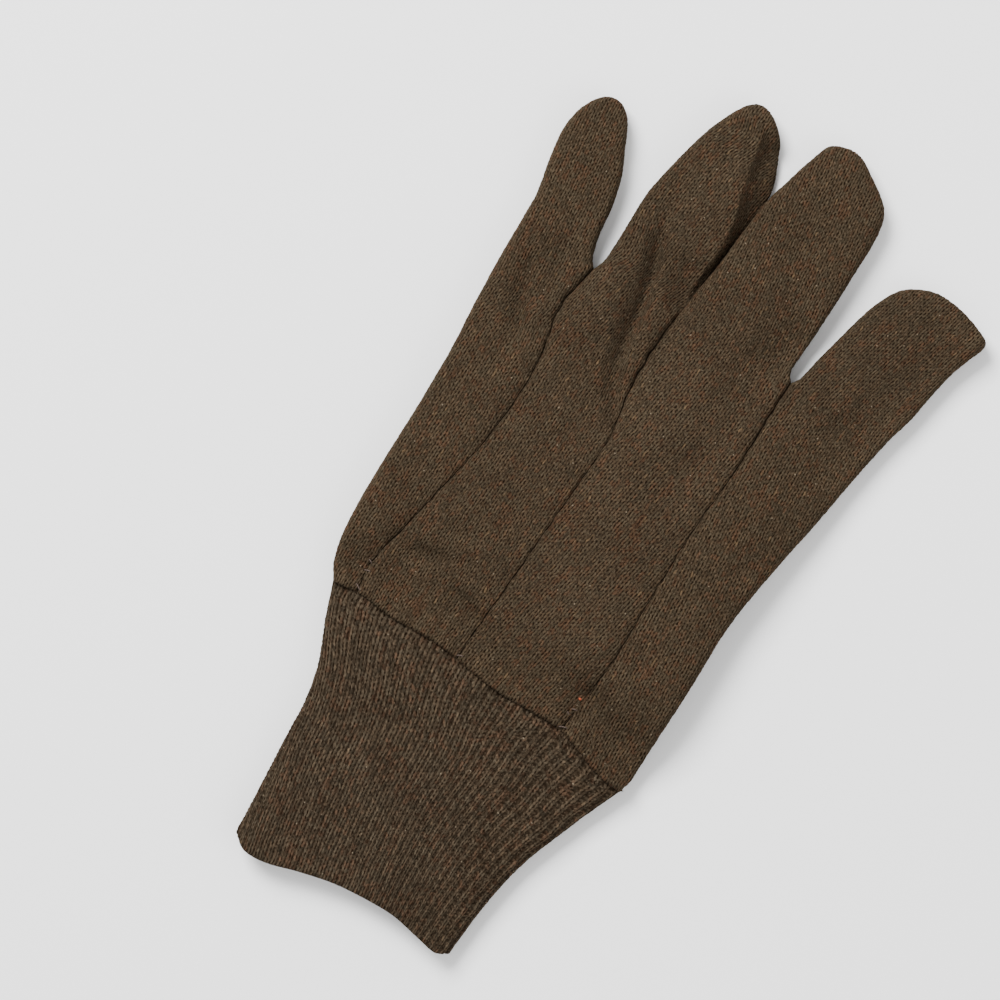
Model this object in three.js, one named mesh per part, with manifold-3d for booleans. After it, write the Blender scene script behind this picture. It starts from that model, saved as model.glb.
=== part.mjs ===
import * as THREE from 'three';
import Module from 'manifold-3d';
import { mergeVertices } from 'three/addons/utils/BufferGeometryUtils.js';

// A left-hand work glove of brown cotton jersey, lying flat with its palm down and its thumb folded
// under the palm. The palm is one panel that runs up the front of all four fingers, the back is four
// strips that meet in three seams, the thumb is set into a hole in the palm, and a rib-knit cuff is
// sewn round the wrist. X runs across the hand to the index finger, Y along it to the fingertips.
// Lengths are in millimetres.

// The hand
const handWidth = 110;
const handLength = 120;
const handThickness = 9.6;
const edgeRoll = 9;
const creaseWidth = 5;
const creaseDepth = 1.1;
const crotchSpace = 0.8;

// The fingers, each length from its crotches to its tip
const littleLength = 41.5;
const ringLength = 61.5;
const middleLength = 63.3;
const indexLength = 44;
const fingerThickness = 8.8;
const tipRoll = 9;

// The cloth
const jerseyWall = 1.4;
const ribWall = 2;
const seamGap = 0.3;

// The cuff
const cuffLength = 73.5;
const hemWidth = 71;
const hemShift = 5;
const cuffThickness = 9.8;
const cuffInset = 0.4;
const cuffRoll = 8;
const ribCount = 66;
const ribDepth = 0.5;

// The thumb, and where its hole lies in the palm
const thumbLength = 64;
const thumbWidth = 31;
const thumbThickness = 7.8;
const thumbHoleLength = 20;
const thumbLean = 13;
const thumbAcross = 35;
const thumbAlong = 31;
const thumbEase = 4;
const thumbFall = 16;
const thumbBend = 4;
const backRise = 6.5;
const backFall = 32;

// How square the round sides are: 2 is a circle's quarter.
const sideExponent = 2.4;

// Where along the hand the seams' creases deepen to the crotches, and the hand thins to the fingers
const creaseDeepens = 0.6;
const palmCreaseDeepens = 0.9;
const fingersStart = 0.7;

// The five lines along the hand, from the cuff seam (at 0) to where each one ends (at 1), as shares
// of the hand's width: the two outer edges and the three seams of the back.
const handLines = [
  { at: 0.00, littleEdge: -0.441, littleRing: -0.359, ringMiddle: -0.050,
    middleIndex: 0.282, indexEdge: 0.511 },
  { at: 0.08, littleEdge: -0.473, littleRing: -0.375, ringMiddle: -0.049,
    middleIndex: 0.282, indexEdge: 0.507 },
  { at: 0.17, littleEdge: -0.489, littleRing: -0.360, ringMiddle: -0.048,
    middleIndex: 0.283, indexEdge: 0.503 },
  { at: 0.29, littleEdge: -0.498, littleRing: -0.341, ringMiddle: -0.046,
    middleIndex: 0.284, indexEdge: 0.500 },
  { at: 0.45, littleEdge: -0.504, littleRing: -0.318, ringMiddle: -0.045,
    middleIndex: 0.275, indexEdge: 0.496 },
  { at: 0.62, littleEdge: -0.515, littleRing: -0.307, ringMiddle: -0.046,
    middleIndex: 0.274, indexEdge: 0.515 },
  { at: 0.75, littleEdge: -0.532, littleRing: -0.325, ringMiddle: -0.062,
    middleIndex: 0.281, indexEdge: 0.533 },
  { at: 0.88, littleEdge: -0.545, littleRing: -0.344, ringMiddle: -0.075,
    middleIndex: 0.277, indexEdge: 0.550 },
  { at: 1.00, littleEdge: -0.553, littleRing: -0.323, ringMiddle: -0.069,
    middleIndex: 0.273, indexEdge: 0.569 },
];

// Where each line ends, as a share of the hand's length: the crotches are not level.
const lineEnds = {
  littleEdge: 0.996, littleRing: 0.983, ringMiddle: 1.029, middleIndex: 1.017, indexEdge: 1.013,
};

// The outline of each finger from its crotches (at 0) to its tip (at 1): how far its left and right
// sides stand from where they start, as shares of the finger's width there. The rolls say how much of
// the side is rounded, as shares of the full roll: the ring finger falls away under the middle one.
const fingers = [
  {
    name: 'little', left: 'littleEdge', right: 'littleRing', length: littleLength,
    outline: [
      { at: 0.00, left: 0.000, right: 0.000, rollLeft: 1, rollRight: 0.7 },
      { at: 0.08, left: -0.008, right: -0.055, rollLeft: 1, rollRight: 0.8 },
      { at: 0.20, left: -0.043, right: -0.146, rollLeft: 1, rollRight: 0.9 },
      { at: 0.40, left: -0.123, right: -0.221, rollLeft: 1, rollRight: 1 },
      { at: 0.60, left: -0.178, right: -0.324, rollLeft: 1, rollRight: 1 },
      { at: 0.75, left: -0.166, right: -0.458, rollLeft: 1, rollRight: 1 },
      { at: 0.86, left: -0.111, right: -0.557, rollLeft: 1, rollRight: 1 },
      { at: 0.94, left: -0.032, right: -0.652, rollLeft: 1, rollRight: 1 },
      { at: 1.00, left: 0.150, right: -0.850, rollLeft: 1, rollRight: 1 },
    ],
  },
  {
    name: 'ring', left: 'littleRing', right: 'ringMiddle', length: ringLength,
    outline: [
      { at: 0.00, left: 0.000, right: 0.000, rollLeft: 0.6, rollRight: 0.5 },
      { at: 0.05, left: 0.036, right: -0.018, rollLeft: 0.7, rollRight: 0.5 },
      { at: 0.20, left: 0.039, right: -0.016, rollLeft: 0.9, rollRight: 0.45 },
      { at: 0.40, left: 0.025, right: -0.011, rollLeft: 1, rollRight: 0.4 },
      { at: 0.60, left: 0.090, right: 0.040, rollLeft: 1, rollRight: 0.8 },
      { at: 0.70, left: 0.136, right: 0.068, rollLeft: 1, rollRight: 1 },
      { at: 0.80, left: 0.197, right: -0.022, rollLeft: 1, rollRight: 1 },
      { at: 0.90, left: 0.290, right: -0.136, rollLeft: 1, rollRight: 1 },
      { at: 0.96, left: 0.370, right: -0.270, rollLeft: 1, rollRight: 1 },
      { at: 1.00, left: 0.520, right: -0.480, rollLeft: 1, rollRight: 1 },
    ],
  },
  {
    name: 'middle', left: 'ringMiddle', right: 'middleIndex', length: middleLength,
    outline: [
      { at: 0.00, left: 0.000, right: 0.000, rollLeft: 0.5, rollRight: 0.6 },
      { at: 0.05, left: 0.000, right: -0.019, rollLeft: 0.5, rollRight: 0.7 },
      { at: 0.20, left: 0.011, right: -0.037, rollLeft: 0.6, rollRight: 0.9 },
      { at: 0.40, left: 0.021, right: -0.051, rollLeft: 0.8, rollRight: 1 },
      { at: 0.60, left: 0.064, right: -0.064, rollLeft: 1, rollRight: 1 },
      { at: 0.70, left: 0.114, right: -0.072, rollLeft: 1, rollRight: 1 },
      { at: 0.80, left: 0.149, right: -0.098, rollLeft: 1, rollRight: 1 },
      { at: 0.86, left: 0.178, right: -0.150, rollLeft: 1, rollRight: 1 },
      { at: 0.91, left: 0.210, right: -0.250, rollLeft: 1, rollRight: 1 },
      { at: 0.96, left: 0.255, right: -0.385, rollLeft: 1, rollRight: 1 },
      { at: 1.00, left: 0.430, right: -0.570, rollLeft: 1, rollRight: 1 },
    ],
  },
  {
    name: 'index', left: 'middleIndex', right: 'indexEdge', length: indexLength,
    outline: [
      { at: 0.00, left: 0.000, right: 0.000, rollLeft: 0.6, rollRight: 1 },
      { at: 0.05, left: 0.034, right: 0.014, rollLeft: 0.7, rollRight: 1 },
      { at: 0.20, left: 0.080, right: 0.061, rollLeft: 0.9, rollRight: 1 },
      { at: 0.40, left: 0.138, right: 0.095, rollLeft: 1, rollRight: 1 },
      { at: 0.60, left: 0.193, right: 0.138, rollLeft: 1, rollRight: 1 },
      { at: 0.75, left: 0.257, right: 0.196, rollLeft: 1, rollRight: 1 },
      { at: 0.86, left: 0.333, right: 0.243, rollLeft: 1, rollRight: 1 },
      { at: 0.91, left: 0.398, right: 0.220, rollLeft: 1, rollRight: 1 },
      { at: 0.96, left: 0.510, right: 0.050, rollLeft: 1, rollRight: 1 },
      { at: 1.00, left: 0.720, right: -0.280, rollLeft: 1, rollRight: 1 },
    ],
  },
];

// The soft folds and dents of the back, each a line from one place to another. Across and width are
// shares of the hand's width, along is a share of its length from the cuff seam, and depth is a share
// of its thickness.
const folds = [
  { name: 'ring finger fold', across: -0.250, along: 1.190, toAcross: -0.195, toAlong: 1.040,
    width: 0.029, depth: 0.135 },
  { name: 'ring knuckle fold', across: -0.195, along: 1.040, toAcross: -0.155, toAlong: 0.870,
    width: 0.033, depth: 0.146 },
  { name: 'ring seam fold', across: -0.155, along: 0.870, toAcross: -0.085, toAlong: 0.715,
    width: 0.029, depth: 0.125 },
  { name: 'middle knuckle dent', across: 0.165, along: 1.040, toAcross: 0.165, toAlong: 0.770,
    width: 0.073, depth: 0.083 },
  { name: 'little knuckle dent', across: -0.464, along: 0.840, toAcross: -0.427, toAlong: 0.720,
    width: 0.036, depth: 0.063 },
  { name: 'wrist dent', across: -0.385, along: 0.165, toAcross: -0.170, toAlong: 0.190,
    width: 0.055, depth: 0.094 },
];

// The cuff seam and the hem, across the wrist from the little finger's side (at 0): the seam's rise
// as a share of the hand's length, the hem's as a share of the cuff's.
const cuffSeamLine = [
  { at: 0.00, rise: -0.008 },
  { at: 0.09, rise: 0.004 },
  { at: 0.19, rise: 0.000 },
  { at: 0.35, rise: 0.008 },
  { at: 0.47, rise: -0.002 },
  { at: 0.57, rise: -0.006 },
  { at: 0.74, rise: 0.003 },
  { at: 0.82, rise: -0.012 },
  { at: 0.91, rise: -0.037 },
  { at: 1.00, rise: -0.042 },
];
const hemLine = [
  { at: 0.00, rise: -0.045 },
  { at: 0.07, rise: -0.080 },
  { at: 0.17, rise: -0.073 },
  { at: 0.30, rise: -0.031 },
  { at: 0.44, rise: 0.007 },
  { at: 0.58, rise: 0.027 },
  { at: 0.72, rise: 0.035 },
  { at: 0.86, rise: 0.016 },
  { at: 0.95, rise: 0.005 },
  { at: 1.00, rise: 0.025 },
];

// How the cuff narrows from its seam (at 0) to its hem (at 1), as shares of the whole narrowing.
const cuffSides = [
  { at: 0.00, left: 0.00, right: 0.00 },
  { at: 0.15, left: 0.26, right: 0.26 },
  { at: 0.30, left: 0.56, right: 0.49 },
  { at: 0.45, left: 0.73, right: 0.71 },
  { at: 0.60, left: 0.80, right: 0.86 },
  { at: 0.80, left: 0.90, right: 0.96 },
  { at: 1.00, left: 1.00, right: 1.00 },
];

// Where the meshes have their rows: along the hand, a finger, the cuff and the thumb, and across a
// strip, round the thumb and round the cuff.
const handStations = [0, 0.08, 0.18, 0.32, 0.48, 0.63, 0.76, 0.87, 0.95, 1];
const fingerStations = [0.06, 0.13, 0.25, 0.4, 0.55, 0.68, 0.79, 0.88, 0.95, 1];
const cuffStations = [0, 0.12, 0.26, 0.42, 0.6, 0.8, 0.92, 1];
const thumbStations = [0.3, 0.45, 0.6, 0.74, 0.85, 0.93, 0.98];
const rollSteps = 3;
const flatSteps = 3;
const thumbPoints = 16;
const bendSteps = 5;
const cuffRollSteps = 8;
const cuffFlatSteps = 24;

// Points closer than this are one point.
const mergeDistance = 0.005;

// Both layers come down to each other at a crotch, with only the crotch's space between their walls.
const crotchDrop = (fingerThickness - 2 * jerseyWall - crotchSpace) / 2;

const { clamp, lerp, smoothstep, degToRad } = THREE.MathUtils;

// Reads one column of a table anywhere between its rows, on a smooth curve through them.
function column(rows, name) {
  const slopes = rows.map((row, i) => {
    const before = rows[Math.max(i - 1, 0)];
    const after = rows[Math.min(i + 1, rows.length - 1)];
    return (after[name] - before[name]) / (after.at - before.at);
  });
  return (at) => {
    let i = 0;
    while (i < rows.length - 2 && rows[i + 1].at < at) i += 1;
    const span = rows[i + 1].at - rows[i].at;
    const t = clamp((at - rows[i].at) / span, 0, 1);
    const start = rows[i][name];
    const end = rows[i + 1][name];
    const ease = t * t * (3 - 2 * t);
    const leave = t * (1 - t) * (1 - t) * span * slopes[i];
    const arrive = t * t * (1 - t) * span * slopes[i + 1];
    return lerp(start, end, ease) + leave - arrive;
  };
}

const sideWave = (share) => Math.pow(Math.max(share, 0), 2 / sideExponent);
const cuffSeamRise = column(cuffSeamLine, 'rise');
const hemRise = column(hemLine, 'rise');
const lineAt = {};
for (const name of Object.keys(lineEnds)) lineAt[name] = column(handLines, name);
const wristLeft = handWidth * lineAt.littleEdge(0);
const wristRight = handWidth * lineAt.indexEdge(0);

function cuffSeamY(x) {
  return handLength * cuffSeamRise(clamp((x - wristLeft) / (wristRight - wristLeft), 0, 1));
}

// A point on one of the five lines of the hand.
function linePoint(name, at) {
  const x = handWidth * lineAt[name](at);
  return new THREE.Vector2(x, lerp(cuffSeamY(x), handLength * lineEnds[name], at));
}

for (const finger of fingers) {
  const left = linePoint(finger.left, 1);
  const right = linePoint(finger.right, 1);
  finger.roots = { left, right };
  finger.rootWidth = right.x - left.x;
  finger.tipY = (left.y + right.y) / 2 + finger.length;
  finger.columns = {};
  for (const name of ['left', 'right', 'rollLeft', 'rollRight']) {
    finger.columns[name] = column(finger.outline, name);
  }
}

// A point on the side of a finger, or of its strip of the hand: the hand is 0 to 1, the finger 1 to 2.
function sidePoint(finger, side, station) {
  if (station <= 1) return linePoint(finger[side], station);
  const root = finger.roots[side];
  const at = station - 1;
  return new THREE.Vector2(
    root.x + finger.rootWidth * finger.columns[side](at),
    lerp(root.y, finger.tipY, at),
  );
}

// The thumb lies under the palm from its hole along this line, and lifts the cloth above it.
const thumbDirection = new THREE.Vector3(-Math.sin(degToRad(thumbLean)), Math.cos(degToRad(thumbLean)), 0);
const thumbSide = new THREE.Vector3(thumbDirection.y, -thumbDirection.x, 0);
const thumbHole = new THREE.Vector3(thumbAcross, thumbAlong, 0);
const thumbSpine = new THREE.Line3(
  thumbHole,
  thumbHole.clone().addScaledVector(thumbDirection, thumbLength - thumbWidth / 2),
);
const nearest = new THREE.Vector3();

function thumbDistance(x, y) {
  const place = new THREE.Vector3(x, y, 0);
  return thumbSpine.closestPointToPoint(place, true, nearest).distanceTo(place);
}

function fade(distance, flat, fall) {
  return 0.5 + 0.5 * Math.cos(Math.PI * clamp((distance - flat) / fall, 0, 1));
}

function palmLift(x, y) {
  const lift = thumbThickness + seamGap;
  return lift * fade(thumbDistance(x, y), thumbWidth / 2 + thumbEase, thumbFall);
}

function backLift(x, y) {
  return backRise * fade(thumbDistance(x, y), thumbWidth / 3, backFall);
}

// How far the folds and dents lower the back at a place.
function foldDepth(x, y) {
  let depth = 0;
  for (const fold of folds) {
    const start = new THREE.Vector3(handWidth * fold.across, handLength * fold.along, 0);
    const end = new THREE.Vector3(handWidth * fold.toAcross, handLength * fold.toAlong, 0);
    const place = new THREE.Vector3(x, y, 0);
    const away = new THREE.Line3(start, end).closestPointToPoint(place, true, nearest).distanceTo(place);
    const width = handWidth * fold.width;
    depth = Math.max(depth, handThickness * fold.depth * Math.exp(-((away / width) ** 2)));
  }
  return depth;
}

// The heights of the flattened tube at a place: its underside, its top and where its two halves meet.
function heights(x, y, thickness, fullness) {
  const low = palmLift(x, y);
  const high = thickness + backLift(x, y);
  const middle = (low + high) / 2;
  const half = ((high - low) / 2) * fullness;
  return { low: middle - half, high: middle + half, middle };
}

// A grid of points with its faces. Points at one place are shared, so strips can be joined.
class Surface {
  constructor() {
    this.points = [];
    this.faces = [];
    this.places = new Map();
  }

  add(point) {
    const key = point.toArray().map((value) => Math.round(value / mergeDistance)).join(' ');
    if (!this.places.has(key)) {
      this.places.set(key, this.points.length);
      this.points.push(point);
    }
    return this.places.get(key);
  }

  face(a, b, c) {
    if (a !== b && b !== c && c !== a) this.faces.push([a, b, c]);
  }

  // Joins rows of points. The faces point to the viewer who sees the points run right and the rows up.
  grid(rows, { closed = false, flip = false } = {}) {
    const indices = rows.map((row) => row.map((point) => this.add(point)));
    for (let j = 0; j + 1 < indices.length; j += 1) {
      const count = indices[j].length;
      for (let i = 0; i < (closed ? count : count - 1); i += 1) {
        const next = (i + 1) % count;
        const corners = [indices[j][i], indices[j][next], indices[j + 1][next], indices[j + 1][i]];
        if (flip) corners.reverse();
        this.face(corners[0], corners[1], corners[2]);
        this.face(corners[0], corners[2], corners[3]);
      }
    }
  }

  // Gives the surface a wall on its inner side and closes the open edges between the two skins. A point
  // may name the axes that its wall doesn't lean along, or the place that its wall points at, and how
  // far it is already below the full wall.
  thicken(wall) {
    const inward = this.points.map(() => new THREE.Vector3());
    const triangle = new THREE.Triangle();
    const normal = new THREE.Vector3();
    for (const [a, b, c] of this.faces) {
      triangle.set(this.points[a], this.points[b], this.points[c]);
      triangle.getNormal(normal).multiplyScalar(-triangle.getArea());
      for (const index of [a, b, c]) inward[index].add(normal);
    }
    const count = this.points.length;
    const inner = this.points.map((point, i) => {
      for (const axis of point.square ?? '') inward[i][axis] = 0;
      if (point.towards) inward[i].subVectors(point.towards, point);
      return point.clone().addScaledVector(inward[i].normalize(), wall - (point.hollow ?? 0));
    });
    const edges = new Set();
    for (const [a, b, c] of this.faces) {
      for (const [from, to] of [[a, b], [b, c], [c, a]]) edges.add(`${from} ${to}`);
    }
    const index = [];
    for (const [a, b, c] of this.faces) {
      index.push(a, b, c);
      index.push(c + count, b + count, a + count);
      for (const [from, to] of [[a, b], [b, c], [c, a]]) {
        if (edges.has(`${to} ${from}`)) continue;
        index.push(to, from, from + count);
        index.push(to, from + count, to + count);
      }
    }
    const geometry = new THREE.BufferGeometry();
    const values = [...this.points, ...inner].flatMap((point) => point.toArray());
    geometry.setAttribute('position', new THREE.Float32BufferAttribute(values, 3));
    geometry.setIndex(index);
    return geometry;
  }
}

// The crease or round side of a strip at one station: how wide it is, how far it drops and how much
// of it is the upright round side of a finger, where 0 is an open crease in the hand.
function sideForm(finger, side, station, layer) {
  const line = finger[side];
  const isOuter = line === 'littleEdge' || line === 'indexEdge';
  if (station > 1) {
    const rollName = side === 'left' ? 'rollLeft' : 'rollRight';
    const upright = isOuter ? 1 : smoothstep(station, 1, 1 + fingerStations[0]);
    return { width: edgeRoll * finger.columns[rollName](station - 1), drop: crotchDrop, upright };
  }
  if (isOuter) return { width: edgeRoll, drop: 0, upright: 1 };
  const drop = layer === 'palm'
    ? crotchDrop * smoothstep(station, palmCreaseDeepens, 1)
    : lerp(creaseDepth, crotchDrop, smoothstep(station, creaseDeepens, 1));
  return { width: creaseWidth, drop, upright: 0 };
}

// One row of points across a strip, from its left side to its right.
function stripRow(finger, station, layer) {
  const left = sidePoint(finger, 'left', station);
  const right = sidePoint(finger, 'right', station);
  const width = left.distanceTo(right);
  const gap = layer === 'back' ? seamGap / 2 : 0;
  const thickness = lerp(handThickness, fingerThickness, smoothstep(station, fingersStart, 1));
  const toTip = (2 - station) * finger.length;
  const tipShare = clamp(toTip / tipRoll, 0, 1);
  const fullness = station > 1 ? sideWave(1 - (1 - tipShare) ** sideExponent) : 1;
  const places = [];
  for (const [side, sign] of [['left', 1], ['right', -1]]) {
    const form = sideForm(finger, side, station, layer);
    const reach = Math.min(form.width, Math.max(width / 2 - gap, 0));
    const isInner = finger[side] !== 'littleEdge' && finger[side] !== 'indexEdge';
    const start = isInner ? Math.min(gap, width / 2) : 0;
    const steps = [];
    for (let i = 0; i <= rollSteps; i += 1) {
      const share = i / rollSteps;
      const angle = (share * Math.PI) / 2;
      const open = { reach: share, drop: Math.cos(angle) ** 2 };
      const round = { reach: 1 - sideWave(Math.cos(angle)), drop: 1 - sideWave(Math.sin(angle)) };
      steps.push({
        reach: start + reach * lerp(open.reach, round.reach, form.upright),
        open: form.drop * open.drop * (1 - form.upright),
        round: round.drop * form.upright,
      });
    }
    if (sign > 0) places.push(...steps);
    else places.push(...steps.reverse().map((step) => ({ ...step, reach: width - step.reach })));
  }
  const inside = [];
  const first = places[rollSteps];
  const last = places[rollSteps + 1];
  for (let i = 1; i < flatSteps; i += 1) {
    inside.push({ reach: lerp(first.reach, last.reach, i / flatSteps), open: 0, round: 0 });
  }
  places.splice(rollSteps + 1, 0, ...inside);
  return places.map((place) => {
    const at = width > 0 ? place.reach / width : 0;
    const point = new THREE.Vector3(lerp(left.x, right.x, at), lerp(left.y, right.y, at));
    const { low, high, middle } = heights(point.x, point.y, thickness, fullness);
    if (layer === 'palm') {
      const rim = middle - seamGap / 2;
      point.z = Math.min(low + place.open + place.round * (rim - low), rim);
    } else {
      const rim = middle + seamGap / 2;
      const top = high - foldDepth(point.x, point.y) * fullness;
      point.z = Math.max(top - place.open - place.round * (top - rim), rim);
    }
    point.square = (place.round === 1 ? 'z' : '') + (station === 0 ? 'y' : '');
    return point;
  });
}

const stripStations = [...handStations, ...fingerStations.map((at) => at + 1)];

function backStrip(finger) {
  const surface = new Surface();
  surface.grid(stripStations.map((station) => stripRow(finger, station, 'back')));
  return surface.thicken(jerseyWall);
}

function palmPanel() {
  const surface = new Surface();
  for (const finger of fingers) {
    surface.grid(stripStations.map((station) => stripRow(finger, station, 'palm')), { flip: true });
  }
  return surface.thicken(jerseyWall);
}

// The thumb's tube starts as a level ring under its hole, swings down on its far side and then runs
// flat along the ground. Each ring has a near point at the palm, a far point and a width.
function thumbRing(near, far, halfWidth, isRim) {
  const centre = near.clone().add(far).multiplyScalar(0.5);
  const up = near.clone().sub(centre);
  const points = [];
  for (let i = 0; i < thumbPoints; i += 1) {
    const angle = (i / thumbPoints) * 2 * Math.PI;
    const across = Math.sign(Math.cos(angle)) * sideWave(Math.abs(Math.cos(angle)));
    const height = Math.sign(Math.sin(angle)) * sideWave(Math.abs(Math.sin(angle)));
    const point = centre.clone().addScaledVector(thumbSide, across * halfWidth).addScaledVector(up, height);
    if (isRim) point.towards = centre;
    points.push(point);
  }
  return points;
}

function thumb() {
  const rows = [];
  const start = thumbHole.clone().addScaledVector(thumbDirection, thumbHoleLength / 2);
  start.z = thumbThickness;
  for (let i = 0; i <= bendSteps; i += 1) {
    const turn = ((i / bendSteps) * Math.PI) / 2;
    const flat = Math.cos(turn) / thumbHoleLength;
    const upright = Math.sin(turn) / thumbThickness;
    const size = (flat ** sideExponent + upright ** sideExponent) ** (-1 / sideExponent);
    const near = start.clone().addScaledVector(thumbDirection, (thumbBend * i) / bendSteps);
    const far = near.clone().addScaledVector(thumbDirection, -size * Math.cos(turn));
    far.z = Math.max(near.z - size * Math.sin(turn), 0);
    rows.push(thumbRing(near, far, thumbWidth / 2, i === 0));
  }
  const straight = thumbLength - thumbHoleLength / 2;
  for (const station of thumbStations) {
    const toTip = (1 - station) * straight;
    const share = clamp(toTip / (thumbWidth / 2), 0, 1);
    const narrow = sideWave(1 - (1 - share) ** sideExponent);
    const flatten = sideWave(1 - (1 - clamp(toTip / tipRoll, 0, 1)) ** sideExponent);
    const centre = start.clone().addScaledVector(thumbDirection, station * straight);
    const near = centre.clone().setZ((thumbThickness / 2) * (1 + flatten));
    const far = centre.clone().setZ((thumbThickness / 2) * (1 - flatten));
    rows.push(thumbRing(near, far, (thumbWidth / 2) * narrow, false));
  }
  const tip = start.clone().addScaledVector(thumbDirection, straight).setZ(thumbThickness / 2);
  rows.push(new Array(thumbPoints).fill(tip));
  const surface = new Surface();
  surface.grid(rows, { closed: true, flip: true });
  return surface.thicken(jerseyWall);
}

// The lower edge of the hand, where the cuff is sewn on.
const wristEdge = fingers.flatMap((finger) => stripRow(finger, 0, 'palm'));

function wristEdgeY(x) {
  const next = Math.max(wristEdge.findIndex((point) => point.x > x), 1);
  const [before, after] = [wristEdge[next - 1], wristEdge[next]];
  return lerp(before.y, after.y, (x - before.x) / (after.x - before.x));
}

// The cuff is a flattened tube of upright ribs.
function cuffRow(station) {
  const narrowing = {
    left: -hemWidth / 2 + hemShift - wristLeft,
    right: hemWidth / 2 + hemShift - wristRight,
  };
  const inset = cuffInset * (1 - station);
  const left = wristLeft + inset + narrowing.left * column(cuffSides, 'left')(station);
  const right = wristRight - inset + narrowing.right * column(cuffSides, 'right')(station);
  const thickness = lerp(handThickness, cuffThickness, station);
  const place = (x) => {
    const share = (x - left) / (right - left);
    const seamX = lerp(wristLeft + cuffInset, wristRight - cuffInset, share);
    return lerp(wristEdgeY(seamX) - seamGap, cuffLength * (hemRise(share) - 1), station);
  };
  const outline = [];
  const addSide = (edge, sign, upper, turn) => {
    const reach = cuffRoll * (1 - sideWave(Math.cos(turn)));
    const x = edge + sign * reach;
    const { low, high, middle } = heights(x, place(x), thickness, 1);
    const rise = sideWave(Math.sin(turn));
    const z = upper ? lerp(middle, high - inset, rise) : lerp(middle, low + inset, rise);
    outline.push(new THREE.Vector3(x, place(x), z));
  };
  const addFlat = (from, to, upper) => {
    for (let i = 1; i < cuffFlatSteps; i += 1) {
      const x = lerp(from, to, i / cuffFlatSteps);
      const { low, high } = heights(x, place(x), thickness, 1);
      outline.push(new THREE.Vector3(x, place(x), upper ? high - inset : low + inset));
    }
  };
  const turns = Array.from({ length: cuffRollSteps + 1 }, (_, i) => ((i / cuffRollSteps) * Math.PI) / 2);
  for (const turn of turns) addSide(left, 1, true, turn);
  addFlat(left + cuffRoll, right - cuffRoll, true);
  for (const turn of [...turns].reverse()) addSide(right, -1, true, turn);
  for (const turn of turns.slice(1)) addSide(right, -1, false, turn);
  addFlat(right - cuffRoll, left + cuffRoll, false);
  for (const turn of [...turns].reverse().slice(0, -1)) addSide(left, 1, false, turn);
  outline.push(outline[0].clone());
  const path = new THREE.CurvePath();
  for (let i = 0; i + 1 < outline.length; i += 1) path.add(new THREE.LineCurve3(outline[i], outline[i + 1]));
  const loop = path.getSpacedPoints(2 * ribCount).slice(0, -1);
  return loop.map((place, i) => {
    const before = loop[(i + loop.length - 1) % loop.length];
    const after = loop[(i + 1) % loop.length];
    const inward = new THREE.Vector3(after.z - before.z, 0, before.x - after.x).normalize();
    const hollow = i % 2 === 0 ? 0 : ribDepth;
    const point = place.clone().addScaledVector(inward, hollow);
    point.towards = point.clone().add(inward);
    point.hollow = hollow;
    return point;
  });
}

function knitCuff() {
  const surface = new Surface();
  surface.grid(cuffStations.map(cuffRow), { closed: true, flip: true });
  return surface.thicken(ribWall);
}

// Cuts the thumb's hole through the palm.
async function cutThumbHole(palm) {
  const wasm = await Module();
  wasm.setup();
  const solidOf = (geometry) => {
    const bare = geometry.clone();
    bare.deleteAttribute('normal');
    bare.deleteAttribute('uv');
    const merged = mergeVertices(bare, 1e-4);
    return new wasm.Manifold(new wasm.Mesh({
      numProp: 3,
      vertProperties: new Float32Array(merged.attributes.position.array),
      triVerts: new Uint32Array(merged.index.array),
    }));
  };
  const hole = new THREE.Shape();
  hole.absellipse(0, 0, thumbWidth / 2 - jerseyWall, thumbHoleLength / 2 - jerseyWall, 0, 2 * Math.PI);
  const cutter = new THREE.ExtrudeGeometry(hole, {
    depth: handThickness, bevelEnabled: false, curveSegments: 12,
  });
  cutter.rotateZ(degToRad(thumbLean));
  cutter.translate(thumbHole.x, thumbHole.y, thumbThickness - handThickness / 2);
  const cut = solidOf(palm).subtract(solidOf(cutter)).getMesh();
  const geometry = new THREE.BufferGeometry();
  geometry.setAttribute('position', new THREE.Float32BufferAttribute(cut.vertProperties, 3));
  geometry.setIndex(Array.from(cut.triVerts));
  return geometry;
}

const jerseyColor = new THREE.Color().setRGB(0.3, 0.24, 0.182, THREE.SRGBColorSpace);
const ribColor = new THREE.Color().setRGB(0.275, 0.226, 0.18, THREE.SRGBColorSpace);

function piece(name, geometry, color) {
  geometry.computeVertexNormals();
  const material = new THREE.MeshStandardMaterial({ color, roughness: 0.95, metalness: 0 });
  const mesh = new THREE.Mesh(geometry, material);
  mesh.name = name;
  return mesh;
}

const glove = new THREE.Group();
glove.add(piece('palm_panel', await cutThumbHole(palmPanel()), jerseyColor));
for (const finger of fingers) glove.add(piece(`back_${finger.name}`, backStrip(finger), jerseyColor));
glove.add(piece('thumb', thumb(), jerseyColor));
glove.add(piece('knit_cuff', knitCuff(), ribColor));

// The origin is on the ground under the middle of the glove.
const extent = new THREE.Box3().setFromObject(glove);
const centre = extent.getCenter(new THREE.Vector3());
glove.position.set(-centre.x, -centre.y, -extent.min.z);

const group = new THREE.Group();
group.add(glove);

export default group;
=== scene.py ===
import math

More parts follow.
